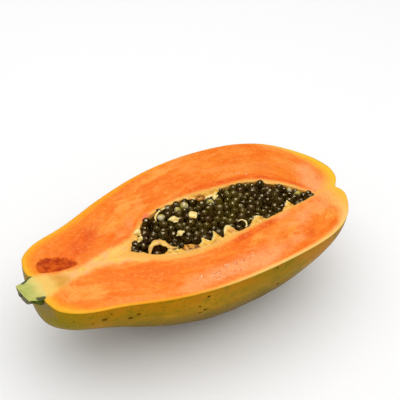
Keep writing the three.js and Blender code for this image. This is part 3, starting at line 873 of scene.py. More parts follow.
link(tree, tone, shader, "Base Color")
bumped(tree, shader, grain(tree, where, 1500.0), 0.0001)
skin_specks = scattered(
    "skin_specks", speck_spots, {"size": [size for x, share, size in speck_rows], "facing": speck_facing},
    scatter_tree("skin specks", crust, 8, 5),
    {"Length": SPECK_LENGTH / 1000, "Width": SPECK_WIDTH / 1000, "Height": SPECK_HEIGHT / 1000,
     "Uneven": 0.15, "Seed": 3})
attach(skin_specks, "root")

# ---- Juice beads ----
# Drops of juice, mostly sugar and water, that stand on the wet cut where the knife pressed the
# flesh. They cling to it by themselves and catch the light; their pale colour is a painted highlight.

# Groups of beads: [x, y, length, width, how many].
BEADS_AT = [
    [116.6, -52.3, 3, 2.0, 12], [121.9, -52.1, 3, 1.6, 12], [131.6, -50.3, 3, 1.4, 14],
    [138.1, -50.4, 3, 1.6, 9], [108.4, -49.6, 4, 1.6, 8], [119.6, -56.5, 4, 2.0, 9],
    [144.0, -52.5, 3, 1.6, 8], [201.5, 28.9, 2.2, 0.9, 4], [207.2, 25.6, 2.2, 0.9, 4],
    [152.0, -51.0, 5, 2.5, 8], [136.0, -57.0, 8, 4, 10],
]
BEAD_LENGTH = 0.95
BEAD_WIDTH = 0.42
BEAD_HEIGHT = 0.2
BEAD_LEVEL = -0.14

draw = np.random.default_rng(31)
bead_spots = []
for x, y, length, width, count in BEADS_AT:
    for bead in range(count):
        bead_spots.append((x + draw.normal() * length / 2, y + draw.normal() * width / 2, BEAD_LEVEL))
bead_facing = [(0.0, 0.0, draw.uniform(-0.2, 0.7)) for spot in bead_spots]
bead_sizes = draw.uniform(0.6, 1.7, len(bead_spots))
juice_highlight, tree, shader, where = new_material(
    "papaya juice highlight", Roughness=0.25, Coat_Weight=0.6, Coat_Roughness=0.1, Coat_IOR=1.4)
# Most beads are pale, a painted highlight; about a third are a deeper orange.
tone = mixed(tree, grain(tree, where, 700.0), colour(254, 168, 104), colour(255, 190, 134))
tone = tinted(tree, tone, layer_of(tree, "cast"), 0.66, 0.7, 1.0, colour(240, 132, 74))
link(tree, tone, shader, "Base Color")
bumped(tree, shader, grain(tree, where, 1200.0), 0.00005)
juice_beads = scattered(
    "juice_beads", bead_spots, {"size": bead_sizes, "facing": bead_facing},
    scatter_tree("juice beads", juice_highlight, 8, 5),
    {"Length": BEAD_LENGTH / 1000, "Width": BEAD_WIDTH / 1000, "Height": BEAD_HEIGHT / 1000,
     "Taper": 0.2, "Uneven": 0.2, "Seed": 9})
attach(juice_beads, "root")

# ---- Torn lining ----
# The cream lining of the seed cavity, which tore as the knife went through. Ragged lips of it
# stand out over the seeds along both edges, and crumpled scraps of it lie among them.

LIP_STEP = 0.3
LIP_SIDES = 10
# How far the lip's root lies in the flesh, its thickness at the root and the tip, and its level.
LIP_ROOT = 2.6
LIP_THICK = 1.4
TIP_THICK = 0.5
LIP_LEVEL = -1.15
# A lip that reaches this far, from little to full, turns up at its tip. It takes a golden painted
# shade, and its tip a pale colour that is partly painted highlight.
LIP_TURNS = (2, 5)
LIP_RISE = 0.5
LIP_FLUTTER = 0.6
LIP_RIPPLE = 0.5
LIP_FLATNESS = 0.62
# Where the lip slopes down like a bank instead: x where that starts and ends, its fall, and how
# strongly painted shade browns it.
BANK_STARTS = (111, 116)
BANK_ENDS = (125, 129)
BANK_FALL = 1.1
BANK_SHADE = 1.3
# How far the lip reaches over the seeds, along the near edge and along the far edge.
LIP_NEAR = np.array([
    [84, 0.6], [88, 2.2], [92, 0.8], [97, 1.4], [101, 1.8], [104, 4.2], [106.5, 7.0], [108, 4.5],
    [112.6, 4.8], [115.7, 6.0], [118, 7.6], [121, 8.2], [124, 7.0], [127.3, 4.2], [129.5, 5.2],
    [131.5, 7.4], [133.3, 10.2], [133.7, 6.6], [134.8, 5.0], [137.2, 3.6], [138.5, 4.4], [140.5, 6.0],
    [142.6, 8.6], [144.5, 12.0], [144.9, 6.5], [145.8, 2.4], [147.2, 2.0], [148.9, 3.3], [150.5, 5.6],
    [152, 7.6], [153.6, 8.8], [155.5, 9.8], [157.8, 8.4], [158.4, 5.5], [159.3, 2.8], [161.2, 0.6],
    [166.4, 0.4], [169, 0.8], [172.1, 1.6], [175, 2.8], [178.4, 4.8], [181.1, 6.6], [183.4, 6.2],
    [185.4, 4.8], [186, 2.6], [188, 1.4], [192, 1.0], [197, 0.8], [203, 1.0], [207.3, 2.4],
    [210.5, 4.2], [213, 6.2], [214.9, 7.8], [215.4, 4.2], [216.2, 0.8], [219, 0.4], [230, 0.3],
    [236, 0.2],
])
LIP_FAR = np.array([
    [84, 0.4], [89, 0.9], [91, 4.2], [94, 1.4], [96, 4.4], [99, 1.6], [104, 0.8], [120, 1.2],
    [135, 1.6], [146, 1.4], [151, 3.6], [155, 6.4], [160, 7.8], [165, 6.6], [169, 7.2], [173, 4.2],
    [177, 1.6], [190, 1.0], [205, 1.4], [212, 1.0], [217, 3.4], [220, 1.6], [230, 0.6], [236, 0.2],
])


def closed_strip(rings, body_points, body_faces):
    """Adds a closed body drawn through rings of points, with both ends closed by a fan."""
    first = len(body_points)
    sides = len(rings[0])
    for ring in rings:
        body_points.extend(ring)
    for row in range(len(rings) - 1):
        for side in range(sides):
            after = (side + 1) % sides
            start = first + row * sides
            body_faces.append([start + side, start + after, start + sides + after, start + sides + side])
    for row in (0, len(rings) - 1):
        middle = len(body_points)
        body_points.append(np.mean(rings[row], axis=0))
        for side in range(sides):
            start = first + row * sides
            body_faces.append([middle, start + side, start + (side + 1) % sides])


def bank_at(x, side):
    """How far the lip slopes down like a bank: only on the near side, over a short stretch."""
    return float(smooth_step(x, *BANK_STARTS) * (1 - smooth_step(x, *BANK_ENDS))) if side < 0 else 0.0


# The tip value says how the lining looks: 0 is plain cream, 0.5 golden painted shade in the folds,
# 1 pale, partly the lining's colour and partly painted highlight, below 0 brown painted shade on the bank.
lining_points = []
lining_faces = []
lining_tips = []
for side, table in ((1, LIP_FAR), (-1, LIP_NEAR)):
    rings = []
    for x in np.arange(table[0, 0], table[-1, 0], LIP_STEP):
        centre, half_width = cavity_at(x)
        edge = centre + side * half_width
        salt = 40.0 * side
        wobble = noise.noise(Vector((x / 1.6, salt, 0.0)))
        flutter = noise.noise(Vector((x / 5.0, salt, 4.0)))
        reach = np.interp(x, *table.T)
        reach = reach * (1.06 + 0.08 * wobble) + 0.25 * wobble - (1 - smooth_step(reach, 1.2, 2.4))
        bank = bank_at(x, side)
        ring = []
        for corner in range(LIP_SIDES):
            turn = 2 * math.pi * corner / LIP_SIDES
            run = 0.5 - 0.5 * math.cos(turn)
            thick = (LIP_THICK * (1 - run) ** 0.8 + TIP_THICK) * math.sin(turn)
            ripple = noise.noise(Vector((x / 2.2, run * 2.5, salt)))
            turned_up = float(smooth_step(reach, *LIP_TURNS))
            level = LIP_LEVEL + LIP_RISE * run * run * turned_up
            level += (LIP_FLUTTER * flutter + LIP_RIPPLE * ripple) * min(reach / 3, 1.6) * run
            level -= BANK_FALL * run ** 1.5 * bank
            lining_tips.append(run * turned_up * (1 - bank) - BANK_SHADE * run * bank)
            inward = -LIP_ROOT + (LIP_ROOT + reach) * run
            ring.append((x, edge - side * inward, level + thick * LIP_FLATNESS))
        rings.append(ring)
    closed_strip(rings, lining_points, lining_faces)
    lining_tips.extend([0.0] * (len(lining_points) - len(lining_tips)))

# Straps of lining: one arches over a dark seed near the stalk end, one lies along the far edge, and a
# pale one curls round a big seed at the near edge, where it stands for the bright reflection on the
# seed's wet sac: a painted highlight. Each has a path, widths along it and a paleness, the tip value
# that also sets its painted shade and highlight.
ARCH_PATH = [(90.4, -15.6, -3.6), (91.8, -12.0, -0.6), (94.8, -8.6, 1.2), (99.0, -7.4, 1.9),
             (103.0, -8.6, 1.6), (105.4, -12.0, 0.8), (107.4, -15.4, 0.0), (110.0, -16.4, -0.5),
             (112.8, -17.0, -1.9)]
ARCH_WIDTHS = [1.3, 2.0, 3.4, 4.8, 5.2, 4.2, 3.0, 2.2, 0.9]
ARCH_PALENESS = 0.72
FOLD_PATH = [(130.0, 24.0, -1.2), (124.0, 22.4, -0.1), (118.0, 20.0, 0.3), (114.6, 16.8, 0.2),
             (113.4, 13.4, -1.4)]
FOLD_WIDTHS = [1.0, 1.4, 1.7, 1.5, 0.8]
FOLD_PALENESS = 0.9
# The curl is a painted highlight: a pale strap where the big seed's wet sac shows a bright reflection.
HIGHLIGHT_CURL_PATH = [(166.4, -16.6, -0.6), (169.4, -17.4, 0.2), (170.8, -19.8, 0.4), (170.2, -22.6, -0.2),
             (168.0, -24.6, -1.2)]
HIGHLIGHT_CURL_WIDTHS = [0.7, 1.2, 1.4, 1.2, 0.7]
HIGHLIGHT_CURL_PALENESS = 1.0
STRAP_STEPS = 42
STRAP_THICKNESS = 0.9
STRAP_CRUMPLE = 0.4
STRAP_UNEVENNESS = 0.16
for strap, strap_widths, strap_paleness in ((ARCH_PATH, ARCH_WIDTHS, ARCH_PALENESS),
                                            (FOLD_PATH, FOLD_WIDTHS, FOLD_PALENESS),
                                            (HIGHLIGHT_CURL_PATH, HIGHLIGHT_CURL_WIDTHS, HIGHLIGHT_CURL_PALENESS)):
    places = np.linspace(0, len(strap) - 1, STRAP_STEPS)
    path = curve_through(strap, places, ROUND)
    widths = np.interp(places, np.arange(len(strap)), strap_widths)
    rings = []
    for step, (point, width) in enumerate(zip(path, widths)):
        ahead = path[min(step + 1, len(path) - 1)] - path[max(step - 1, 0)]
        outward = np.array([ahead[1], -ahead[0], 0.0])
        outward /= np.linalg.norm(outward)
        wobble = noise.noise(Vector(point) / 1.7)
        ring = []
        for corner in range(LIP_SIDES):
            turn = 2 * math.pi * corner / LIP_SIDES
            lift = min(STRAP_THICKNESS, width / 4) * math.sin(turn)
            lift += STRAP_CRUMPLE * noise.noise(Vector(point) / 1.2 + Vector((turn, 0, 0)))
            sideways = width * (0.5 + STRAP_UNEVENNESS * wobble) * math.cos(turn)
            ring.append(point + outward * sideways + [0, 0, lift])
        rings.append(ring)
    closed_strip(rings, lining_points, lining_faces)
    lining_tips.extend([strap_paleness] * (len(lining_points) - len(lining_tips)))

# Scraps: [x, y, height, length, width, thickness, turn].
SCRAPS = [
    [125.4, 7.8, 0.9, 3.8, 2.5, 1.3, -30], [139.6, 4.6, 1.3, 3.9, 3.0, 1.6, 20],
    [121.2, -7.2, 1.1, 3.0, 1.9, 1.2, 15], [95.0, 10.6, -0.2, 2.7, 2.0, 1.2, 20],
    [93.0, 3.2, 0.0, 3.2, 1.6, 1.1, 35], [168.6, 15.0, -1.0, 2.6, 1.8, 1.2, 40],
]
SCRAP_LUMPS = 0.6
SCRAP_CREASES = 0.35
SCRAP_FOLDS = 0.6
for x, y, height, length, width, thickness, turn in SCRAPS:
    shape = bmesh.new()
    bmesh.ops.create_icosphere(shape, subdivisions=4, radius=1.0)
    first = len(lining_points)
    spin = math.radians(turn)
    for vertex in shape.verts:
        place = vertex.co.copy()
        crumple = 1 + SCRAP_LUMPS * noise.noise(place * 1.3 + Vector((x, y, 0)))
        crumple += SCRAP_CREASES * abs(noise.noise(place * 2.3 + Vector((y, x, 1)))) - 0.05
        place *= crumple
        fold = SCRAP_FOLDS * noise.noise(Vector((place.x * 1.8 + x, place.y * 1.8, y)))
        run, rise = place.x * length, place.y * width
        lining_points.append((x + run * math.cos(spin) - rise * math.sin(spin),
                              y + run * math.sin(spin) + rise * math.cos(spin),
                              height + (place.z + fold) * thickness))
    lining_faces.extend([[first + vertex.index for vertex in face.verts] for face in shape.faces])
    shape.free()
lining_tips.extend([1.0] * (len(lining_points) - len(lining_tips)))

torn_lining = make_piece("torn_lining", lining_points, lining_faces, {"tip": lining_tips})
lining_cream, tree, shader, where = new_material(
    "torn lining", Roughness=0.42, Specular_IOR_Level=0.35, Coat_Weight=0.15, Coat_Roughness=0.2,
    Subsurface_Weight=0.15, Subsurface_Scale=0.0015, Subsurface_Radius=(1.0, 0.6, 0.25))
fibre_lining = fibre_in(tree, where, 300.0, 420.0)
tone = mixed(tree, fibre_lining.outputs["Streaks"], colour(250, 196, 96), colour(240, 170, 62))
tip = layer_of(tree, "tip")
# Golden painted shade, where the lining folds and the seeds shade it.
golden_fold_shade = mixed(tree, ramped(tree, grain(tree, where, 260.0, 3.0), 0.4, 0.65), colour(240, 184, 48),
               colour(206, 128, 20))
tone = tinted(tree, tone, tip, 0.1, 0.5, 0.9, golden_fold_shade)
# Pale tips: partly the lining's lemon colour, partly painted highlight.
pale_tip_and_highlight = mixed(tree, ramped(tree, grain(tree, where, 330.0, 3.0), 0.42, 0.66), colour(253, 228, 150),
                 colour(238, 192, 88))
tone = tinted(tree, tone, tip, 0.6, 0.95, 1.0, pale_tip_and_highlight)
# Brown painted shade on the bank that slopes down to the seeds.
brown_bank_shade = mixed(tree, ramped(tree, grain(tree, where, 300.0, 2.0, 0.6), 0.42, 0.6), colour(234, 164, 60),
              colour(122, 66, 12))
tone = tinted(tree, tone, tip, -0.15, -0.7, 1.0, brown_bank_shade)
link(tree, tone, shader, "Base Color")
bumped(tree, shader, fibre_lining.outputs["Height"], 0.0003)
torn_lining.data.materials.append(lining_cream)
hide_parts("fruit_half")
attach(torn_lining, "root")

# ---- Burst sac ----
# The sac of one seed that has burst on the far lip and dried to a thick brown ring of skin.
# It sticks to the lining under it.

RING_AT = (157.0, 18.9, 0.2)
RING_LENGTH = 3.2
RING_WIDTH = 2.3
RING_THICK = 1.0
RING_UNEVENNESS = 0.35
RING_STEPS = 36
RING_SIDES = 10
ring_points = []
ring_faces = []
for step in range(RING_STEPS):
    turn = 2 * math.pi * step / RING_STEPS
    swelling = noise.noise(Vector((math.cos(turn) * 1.4, math.sin(turn) * 1.4, 3.0)))
    thick = RING_THICK * (1 + RING_UNEVENNESS * swelling)
    this_row = step * RING_SIDES
    next_row = (step + 1) % RING_STEPS * RING_SIDES
    for corner in range(RING_SIDES):
        around = 2 * math.pi * corner / RING_SIDES
        out_by = thick * math.cos(around)
        ring_points.append((RING_AT[0] + (RING_LENGTH + out_by) * math.cos(turn),
                            RING_AT[1] + (RING_WIDTH + out_by) * math.sin(turn),
                            RING_AT[2] + thick * math.sin(around)))
        after = (corner + 1) % RING_SIDES
        ring_faces.append([this_row + corner, this_row + after, next_row + after, next_row + corner])
burst_sac = make_piece("burst_sac", ring_points, ring_faces)
sac_brown, tree, shader, where = new_material(
    "burst seed sac", Roughness=0.45, Specular_IOR_Level=0.2)
tone = mixed(tree, ramped(tree, grain(tree, where, 500.0), 0.35, 0.65), colour(204, 134, 30),
             colour(140, 80, 6))
link(tree, tone, shader, "Base Color")
bumped(tree, shader, grain(tree, where, 900.0), 0.0002)
burst_sac.data.materials.append(sac_brown)
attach(burst_sac, "root")

# ---- Stalk stub ----
# The end of the fruit's own stalk, broken off short and split by the same cut. Its skin is dark
# green and ridged, its cut face is pale fibrous green, and its broken end has dried grey-brown.

STUB_Y = -2.2
# [distance from the broken end, half width], from the middle of that end into the fruit.
STUB_PROFILE = np.array([[2.2, 0.2], [1.6, 3.0], [0.6, 6.0], [0.35, 7.4], [1.0, 8.3], [3.4, 8.6],
                         [6.2, 9.5], [8.8, 11.0], [10.6, 11.3], [12.5, 9.8], [15.5, 7.0], [18, 0.2]])
STUB_CURVE_POINTS = 900
STUB_STEPS = 96
STUB_SIDES = 56
STUB_FACE = 24
STUB_FACE_DROP = 0.3
STUB_JOIN_LIFT = 0.36
STUB_SINK = 0.5
RIDGE_COUNT = 5
RIDGE_HEIGHT = 0.035
BULGE_HEIGHT = 2.0
BULGE_AT = 6.5
END_ROUGHNESS = 0.5
FIBRE_RELIEF = 0.22
FAR_EDGE_LIFT = 0.9
NEAR_EDGE_LIFT = 0.4
RIND_KIND = 0
CUT_KIND = 1
END_KIND = 2

profile = curve_through(STUB_PROFILE, np.linspace(0, len(STUB_PROFILE) - 1, STUB_CURVE_POINTS), ROUND)
profile = profile[np.rint(along_arc(profile, STUB_STEPS + 1)).astype(int)]
stub_points = []
stub_faces = []
stub_kind = []
stub_rings = []
for x, radius in profile:
    level = STUB_JOIN_LIFT * smooth_step(x, 6.0, 10.0) - STUB_SINK * smooth_step(x, 12.0, 18.0)
    level -= STUB_FACE_DROP
    roundness = 0.82 + 0.18 * smooth_step(x, 2.0, 9.0)
    ring = []
    for corner in range(STUB_SIDES + 1):
        turn = math.pi * corner / STUB_SIDES
        sideways, down = math.cos(turn), math.sin(turn)
        ridge = 1 + RIDGE_HEIGHT * math.cos(RIDGE_COUNT * turn + 0.6)
        ridge += RIDGE_HEIGHT * noise.noise(Vector((sideways * 2.4, down * 2.4, x / 9)))
        bulge = BULGE_HEIGHT * math.exp(-((x - BULGE_AT) / 3.2) ** 2)
        bulge *= math.exp(-((turn - math.pi) / 0.7) ** 2)
        grow = radius * ridge + bulge
        end_grain = noise.noise(Vector((sideways * radius / 1.6, down * radius / 1.6, 7.0)))
        slant = -(0.9 + 0.1 * grow * sideways) * (1 - smooth_step(x, 1.0, 9.0))
        ring.append((x + slant + END_ROUGHNESS * end_grain * (1 - smooth_step(x, 1.0, 4.0)),
                     STUB_Y + grow * sideways,
                     level - roundness * grow * down))
    stub_rings.append(ring)
for ring in stub_rings:
    stub_points.extend(ring)
ring_size = STUB_SIDES + 1
for step in range(STUB_STEPS):
    for corner in range(STUB_SIDES):
        start = step * ring_size + corner
        stub_faces.append([start, start + 1, start + ring_size + 1, start + ring_size])
        is_end = profile[step, 0] < 1.6 and step < STUB_STEPS * 0.4
        stub_kind.append(END_KIND if is_end else RIND_KIND)
# The cut face, from the far edge to the near one, with both edges standing up a little.
face_rows = []
for step, ring in enumerate(stub_rings):
    far_corner, near_corner = np.array(ring[0]), np.array(ring[-1])
    row = [step * ring_size]
    for place in range(1, STUB_FACE):
        share = place / STUB_FACE
        point = far_corner * (1 - share) + near_corner * share
        fibres = noise.noise(Vector((point[0] / 7, point[1] / 1.1, 2.0)))
        edge_lift = NEAR_EDGE_LIFT * math.exp(-(1 - share) * 14)
        edge_lift += FAR_EDGE_LIFT * math.exp(-share * 14) * smooth_step(point[0], 1, 5)
        point[2] += (FIBRE_RELIEF * fibres + edge_lift - 0.25) * (1 - smooth_step(point[0], 7.0, 10.0))
        row.append(len(stub_points))
        stub_points.append(tuple(point))
    row.append(step * ring_size + STUB_SIDES)
    face_rows.append(row)
for row, after in zip(face_rows, face_rows[1:]):
    for place in range(STUB_FACE):
        stub_faces.append([row[place], after[place], after[place + 1], row[place + 1]])
        stub_kind.append(CUT_KIND)
for step in (0, STUB_STEPS):
    ring = [step * ring_size + corner for corner in range(ring_size)]
    stub_faces.append(ring + face_rows[step][-2:0:-1])
    stub_kind.append(END_KIND if step == 0 else RIND_KIND)
# The rind shows as a green wedge along both edges of the cut face, up to where the fruit begins.
outer_profile = np.maximum.accumulate(profile, axis=0).T
edge_green = []
for x, y, z in stub_points:
    half_width = np.interp(x, *outer_profile)
    before_fruit = 1 - smooth_step(x, 10, 13)
    far_wedge = math.exp(-((STUB_Y + half_width - y) / 1.5) ** 2) * smooth_step(x, 1.5, 4.0)
    near_wedge = math.exp(-((y - STUB_Y + half_width) / 2.8) ** 2) * smooth_step(x, 4.0, 6.5)
    edge_green.append(max(far_wedge * before_fruit, near_wedge * before_fruit))
stalk_stub = make_piece("stalk_stub", stub_points, stub_faces,
                        {"from_end": [x for x, y, z in stub_points], "edge_green": edge_green}, stub_kind)

rind, tree, shader, where = new_material("stalk rind", Roughness=0.55, Specular_IOR_Level=0.03)
fibre_rind = fibre_in(tree, where, 60.0, 380.0)
tone = mixed(tree, fibre_rind.outputs["Streaks"], colour(54, 66, 2), colour(82, 92, 12))
tone = tinted(tree, tone, grain(tree, where, 260.0), 0.5, 0.68, 1.0, colour(34, 42, 2))
link(tree, tone, shader, "Base Color")
bumped(tree, shader, fibre_rind.outputs["Height"], 0.0006)
cut_stalk, tree, shader, where = new_material(
    "cut stalk", Roughness=0.5, Specular_IOR_Level=0.3, Subsurface_Weight=0.1, Subsurface_Scale=0.001)
fibre_cut = fibre_in(tree, where, 50.0, 420.0)
tone = mixed(tree, fibre_cut.outputs["Streaks"], colour(196, 194, 104), colour(172, 178, 72))
tone = tinted(tree, tone, grain(tree, where, 150.0), 0.5, 0.75, 0.5, colour(210, 206, 122))
uneven = sums(tree, "MULTIPLY", grain(tree, where, 240.0, 2.0), 6.0)
from_end = sums(tree, "ADD", layer_of(tree, "from_end"), uneven)
tone = tinted(tree, tone, from_end, 8.0, 14.0, 0.9, colour(224, 202, 110))
tone = tinted(tree, tone, from_end, 12.0, 18.0, 1.0, colour(240, 198, 98))
green_edge = ramped(tree, layer_of(tree, "edge_green"), 0.25, 0.75, 0.0, 0.95)
tone = mixed(tree, green_edge, tone, colour(62, 70, 2))
link(tree, tone, shader, "Base Color")
bumped(tree, shader, fibre_cut.outputs["Height"], 0.00025)
dried_end, tree, shader, where = new_material("dried stalk end", Roughness=0.8)
tone = mixed(tree, ramped(tree, grain(tree, where, 420.0), 0.35, 0.65), colour(128, 122, 92),
             colour(78, 72, 48))
link(tree, tone, shader, "Base Color")
bumped(tree, shader, grain(tree, where, 600.0), 0.0006)
for material in (rind, cut_stalk, dried_end):
    stalk_stub.data.materials.append(material)
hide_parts("stem_stub")
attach(stalk_stub, "root")

# ---- Seeds ----
# Ripe seeds, each in its own wet jelly sac, heaped in the cavity as they grew. They are black with
# an olive or brown cast, a few unripe ones near the edge are pale, and all of them shine.

SEED_COUNT = 425
SEED_SPACING = 6.5
SEED_ROUNDS = 90
SEED_LENGTH = 3.55
SEED_WIDTH = 2.9
SMALLEST = 0.76
LARGEST = 1.28
DEEPEST_SINK = 2.6
# How strongly the seeds push each other apart in each round, and how much they rise in it.
PUSH = 0.32
RISE = 0.2
CROWDED_SHARE = 0.82
# The level of the heap at the near and the far edge, and how much it swells in the middle.
BED_NEAR = -1.4
BED_FAR = -0.1
BED_CROWN = 1.4
BED_BUMPS = 2.0
BED_DEPTH = 15
# The seeds' middles stay this far from the wall, the bottom and both ends of the cavity.
WALL_GAP = 1.5
BOTTOM_GAP = 2.4
START_GAP = 3.5
END_GAP = 3
# Room for the lining's lips and scraps over the seeds.
LIP_ROOM = 3.4
SCRAP_ROOM = 1.4
# Big seeds that stand out, each [x, y, size], and pale ones, each [x, y].
BIG_SEEDS = [[201.0, 7.5, 1.9], [97.4, -13.2, 1.25], [164.9, -20.4, 1.3], [147.6, -18.6, 1.2]]
BIG_LEVEL = -3.2
PALE_LEVEL = -2.5
PALE_SEEDS = [[121.5, 18.5], [133.5, 18.5], [143.0, 19.0], [166.5, 14.5], [230.0, -11.5], [226.0, -5.0]]
# Patches of seeds with more olive in them, as for blots.
OLIVE_PLACES = [[168, -2, 40, 22, 0, 0.6], [122, 8, 14, 9, 0, 0.3], [186, 10, 22, 10, 0, 0.4]]
SCRAP_PLACES = np.array([scrap[:2] for scrap in SCRAPS[:3]])


def seed_lid(places):
    """How high a seed's top may stand at each place in the cavity."""
    centre, half = cavity_at(places[:, 0])
    half = np.maximum(half, 1.0)
    across = np.clip((places[:, 1] - centre) / half, -1, 1)
    lid = BED_NEAR + (BED_FAR - BED_NEAR) * (across + 1) / 2 + BED_CROWN * (1 - across ** 2)
    lid += wander(np.column_stack([places[:, :2], 0 * lid]), 7, 12.0) * BED_BUMPS
    for side, table in ((-1, LIP_NEAR), (1, LIP_FAR)):
        reach = np.interp(places[:, 0], *table.T)
        gap = half - side * (places[:, 1] - centre) - reach
        room = LIP_ROOM * (1 - smooth_step(gap, -0.5, 1.8)) * smooth_step(reach, 1.5, 3.0)
        lid = np.where(room > 0, np.minimum(lid, -room), lid)
    for x, y in SCRAP_PLACES:
        lid -= SCRAP_ROOM * np.exp(-((places[:, 0] - x) ** 2 + (places[:, 1] - y) ** 2) / 8)
    return lid


draw = np.random.default_rng(11)
seeds = np.column_stack([
    draw.uniform(CAVITY_START + 3, CAVITY_END - 2, SEED_COUNT * 3),
    draw.uniform(-28, 27, SEED_COUNT * 3), draw.uniform(-BED_DEPTH, -2, SEED_COUNT * 3)])
centre, half = cavity_at(seeds[:, 0])
outward = ((seeds[:, 1] - centre) / half) ** 2 + (seeds[:, 2] / (half * CAVITY_DEPTH_PER_HALF_WIDTH)) ** 2
seeds = seeds[outward < 0.9][:SEED_COUNT]
fixed = np.array([[x, y, BIG_LEVEL] for x, y, size in BIG_SEEDS])
seeds[:len(fixed)] = fixed
sizes = draw.uniform(SMALLEST, LARGEST, len(seeds))
sizes[:len(fixed)] = [size for x, y, size in BIG_SEEDS]
# Some seeds stay a little below the others, so the heap is not level.
sunk = DEEPEST_SINK * draw.uniform(0, 1, len(seeds)) ** 2
sunk[:len(fixed)] = 0
gap_wanted = SEED_SPACING * (sizes[:, None] + sizes[None, :]) / 2
# The seeds push each other apart and rise to the lid, and the cavity's wall keeps them in.
for turn in range(SEED_ROUNDS):
    apart = seeds[:, None, :] - seeds[None, :, :]
    length = np.linalg.norm(apart, axis=2) + np.eye(len(seeds)) * 99
    close = np.clip(gap_wanted - length, 0, None) / length
    seeds += PUSH * np.einsum("ij,ijk->ik", close, apart)
    seeds[:, 2] += RISE
    seeds[:len(fixed), :2] = fixed[:, :2]
    seeds[:, 0] = np.clip(seeds[:, 0], CAVITY_START + START_GAP, CAVITY_END - END_GAP)
    centre, half = cavity_at(seeds[:, 0])
    room = np.maximum(half - WALL_GAP, 0.6)
    deep = np.clip(half * CAVITY_DEPTH_PER_HALF_WIDTH - BOTTOM_GAP, 1.0, BED_DEPTH)
    radial = np.hypot((seeds[:, 1] - centre) / room, np.minimum(seeds[:, 2], 0) / deep)
    pull = np.where(radial > 1, 1 / np.maximum(radial, 1e-6), 1)
    seeds[:, 1] = centre + (seeds[:, 1] - centre) * pull
    seeds[:, 2] = np.where(seeds[:, 2] < 0, seeds[:, 2] * pull, seeds[:, 2])
    if turn % 6 == 0 or turn > SEED_ROUNDS - 3:
        lid = seed_lid(seeds)
    seeds[:, 2] = np.minimum(seeds[:, 2], lid - sunk - SEED_WIDTH * sizes)
    seeds[:len(fixed), 2] = (lid - SEED_WIDTH * sizes)[:len(fixed)]
# Seeds that the big ones leave no room for are left out.
to_big = np.linalg.norm(seeds[:, None, :] - seeds[None, :len(fixed), :], axis=2)
crowded = to_big < CROWDED_SHARE * SEED_WIDTH * (sizes[:, None] + sizes[None, :len(fixed)])
crowded[:len(fixed)] = False
kept = ~crowded.any(axis=1)
seeds, sizes = seeds[kept], sizes[kept]
pale = np.zeros(len(seeds))
for x, y in PALE_SEEDS:
    pale[np.argmin(np.linalg.norm(seeds - [x, y, PALE_LEVEL], axis=1))] = draw.uniform(0.7, 0.95)
olive = blots(OLIVE_PLACES, seeds[:, 0], seeds[:, 1])
olive *= draw.uniform(0.2, 1.6, len(seeds))
olive[:len(fixed)] = 0
seed_facing = draw.uniform(0, math.tau, (len(seeds), 3))

seed_jelly, tree, shader, where = new_material(
    "seed in its sac", Roughness=0.14, IOR=2.0, Specular_Tint=(1.0, 0.86, 0.52, 1.0))
cast = layer_of(tree, "cast")
wrinkle = grain(tree, where, 700.0, 3.0, 0.6, 0.5)
olive_cast = sums(tree, "ADD", sums(tree, "MULTIPLY", cast, 0.5), layer_of(tree, "olive"))
tone = mixed(tree, ramped(tree, olive_cast, 0.1, 1.2), colour(40, 20, 3), colour(84, 68, 10))
tone = tinted(tree, tone, cast, 0.82, 0.98, 1.0, colour(64, 30, 8))
tone = tinted(tree, tone, wrinkle, 0.5, 0.8, 0.8, colour(140, 112, 40))
pale_cloud = ramped(tree, grain(tree, where, 260.0, 2.0), 0.44, 0.58)
pale_tone = mixed(tree, pale_cloud, colour(200, 182, 72), colour(254, 240, 196))
tone = mixed(tree, layer_of(tree, "pale"), tone, pale_tone)
link(tree, tone, shader, "Base Color")
link(tree, ramped(tree, cast, 0.0, 1.0, 0.12, 0.3), shader, "Roughness")
seed_height = sums(tree, "ADD", sums(tree, "MULTIPLY", wrinkle, 0.6), grain(tree, where, 330.0, 1.0))
bumped(tree, shader, seed_height, 0.0006)
seed_heap = scattered(
    "seed_heap", seeds, {"size": sizes, "pale": pale, "olive": olive, "facing": seed_facing},
    scatter_tree("seed heap", seed_jelly, 10, 8),
    {"Length": SEED_LENGTH / 1000, "Width": SEED_WIDTH / 1000, "Height": SEED_WIDTH / 1000,
     "Taper": 0.14, "Uneven": 0.1, "Seed": 5})
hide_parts("seeds")
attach(seed_heap, "root")

# ---- Studio ----
# A table top of pale paper and a pale room, with a broad soft light overhead and a small one that
# makes the seeds sparkle. The floor is a stage piece, and the camera looks down from the front left.

# Millimetres on the fruit for the camera, degrees for its turns, and metres for floor and lights.
CAMERA_AT = (-121.38, -323.73, 368.5)
CAMERA_TO = (155.54, 17.12, 0.0)
CAMERA_ROLL = 6
CAMERA_SPREAD = 30
FLOOR_REACH = 6.0
OVERHEAD_AT = (0.0, 0.0, 1.5)
OVERHEAD_TO = (0, 0, 0)
OVERHEAD_SIZE = 2.6
OVERHEAD_POWER = 21.5
SPARKLE_AT = (0.12, 0.32, 1.25)
SPARKLE_TO = (0.02, 0, 0.07)
SPARKLE_SIZE = 0.6
SPARKLE_POWER = 10
ROOM_BRIGHTNESS = 0.6

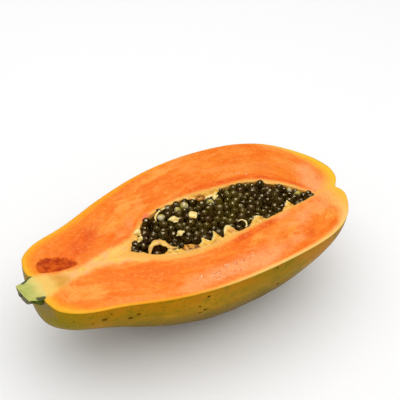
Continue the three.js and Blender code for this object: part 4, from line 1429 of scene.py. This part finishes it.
floor_mesh = bpy.data.meshes.new("floor")
floor_corners = [(x * FLOOR_REACH, y * FLOOR_REACH, 0) for x, y in ((-1, -1), (1, -1), (1, 1), (-1, 1))]
floor_mesh.from_pydata(floor_corners, [], [(0, 1, 2, 3)])
floor = bpy.data.objects.new("floor", floor_mesh)
bpy.context.scene.collection.objects.link(floor)
paper, tree, shader, where = new_material("pale paper", Roughness=0.8)
tone = mixed(tree, grain(tree, where, 300.0, 2.0), (0.93, 0.93, 0.93, 1), (0.96, 0.96, 0.96, 1))
link(tree, tone, shader, "Base Color")
floor_mesh.materials.append(paper)


def area_light(name, place, target, size, power):
    """A square light that shines from its place towards its target."""
    lamp = bpy.data.lights.new(name, "AREA")
    lamp.shape = "SQUARE"
    lamp.size = size
    lamp.energy = power
    holder = bpy.data.objects.new(name, lamp)
    bpy.context.scene.collection.objects.link(holder)
    holder.location = place
    holder.rotation_mode = "QUATERNION"
    holder.rotation_quaternion = (Vector(target) - Vector(place)).to_track_quat("-Z", "Y")
    return holder


overhead = area_light("overhead light", OVERHEAD_AT, OVERHEAD_TO, OVERHEAD_SIZE, OVERHEAD_POWER)
overhead.visible_glossy = False
sparkle = area_light("sparkle light", SPARKLE_AT, SPARKLE_TO, SPARKLE_SIZE, SPARKLE_POWER)
sparkle.visible_diffuse = False

world = bpy.data.worlds.new("pale room")
bpy.context.scene.world = world
world.use_nodes = True
room_light = world.node_tree.nodes["Background"]
room_light.inputs["Color"].default_value = (1, 1, 1, 1)
room_light.inputs["Strength"].default_value = ROOM_BRIGHTNESS
world.cycles_visibility.glossy = False

lens = bpy.data.cameras.new("camera")
lens.angle = math.radians(CAMERA_SPREAD)
camera = bpy.data.objects.new("camera", lens)
bpy.context.scene.collection.objects.link(camera)
eye, aim = Vector(to_frame(CAMERA_AT)), Vector(to_frame(CAMERA_TO))
camera.location = eye
camera.rotation_euler = (aim - eye).to_track_quat("-Z", "Y").to_euler()
camera.rotation_euler.rotate_axis("Z", math.radians(CAMERA_ROLL))
bpy.context.scene.camera = camera
bpy.context.scene.view_settings.view_transform = "Standard"
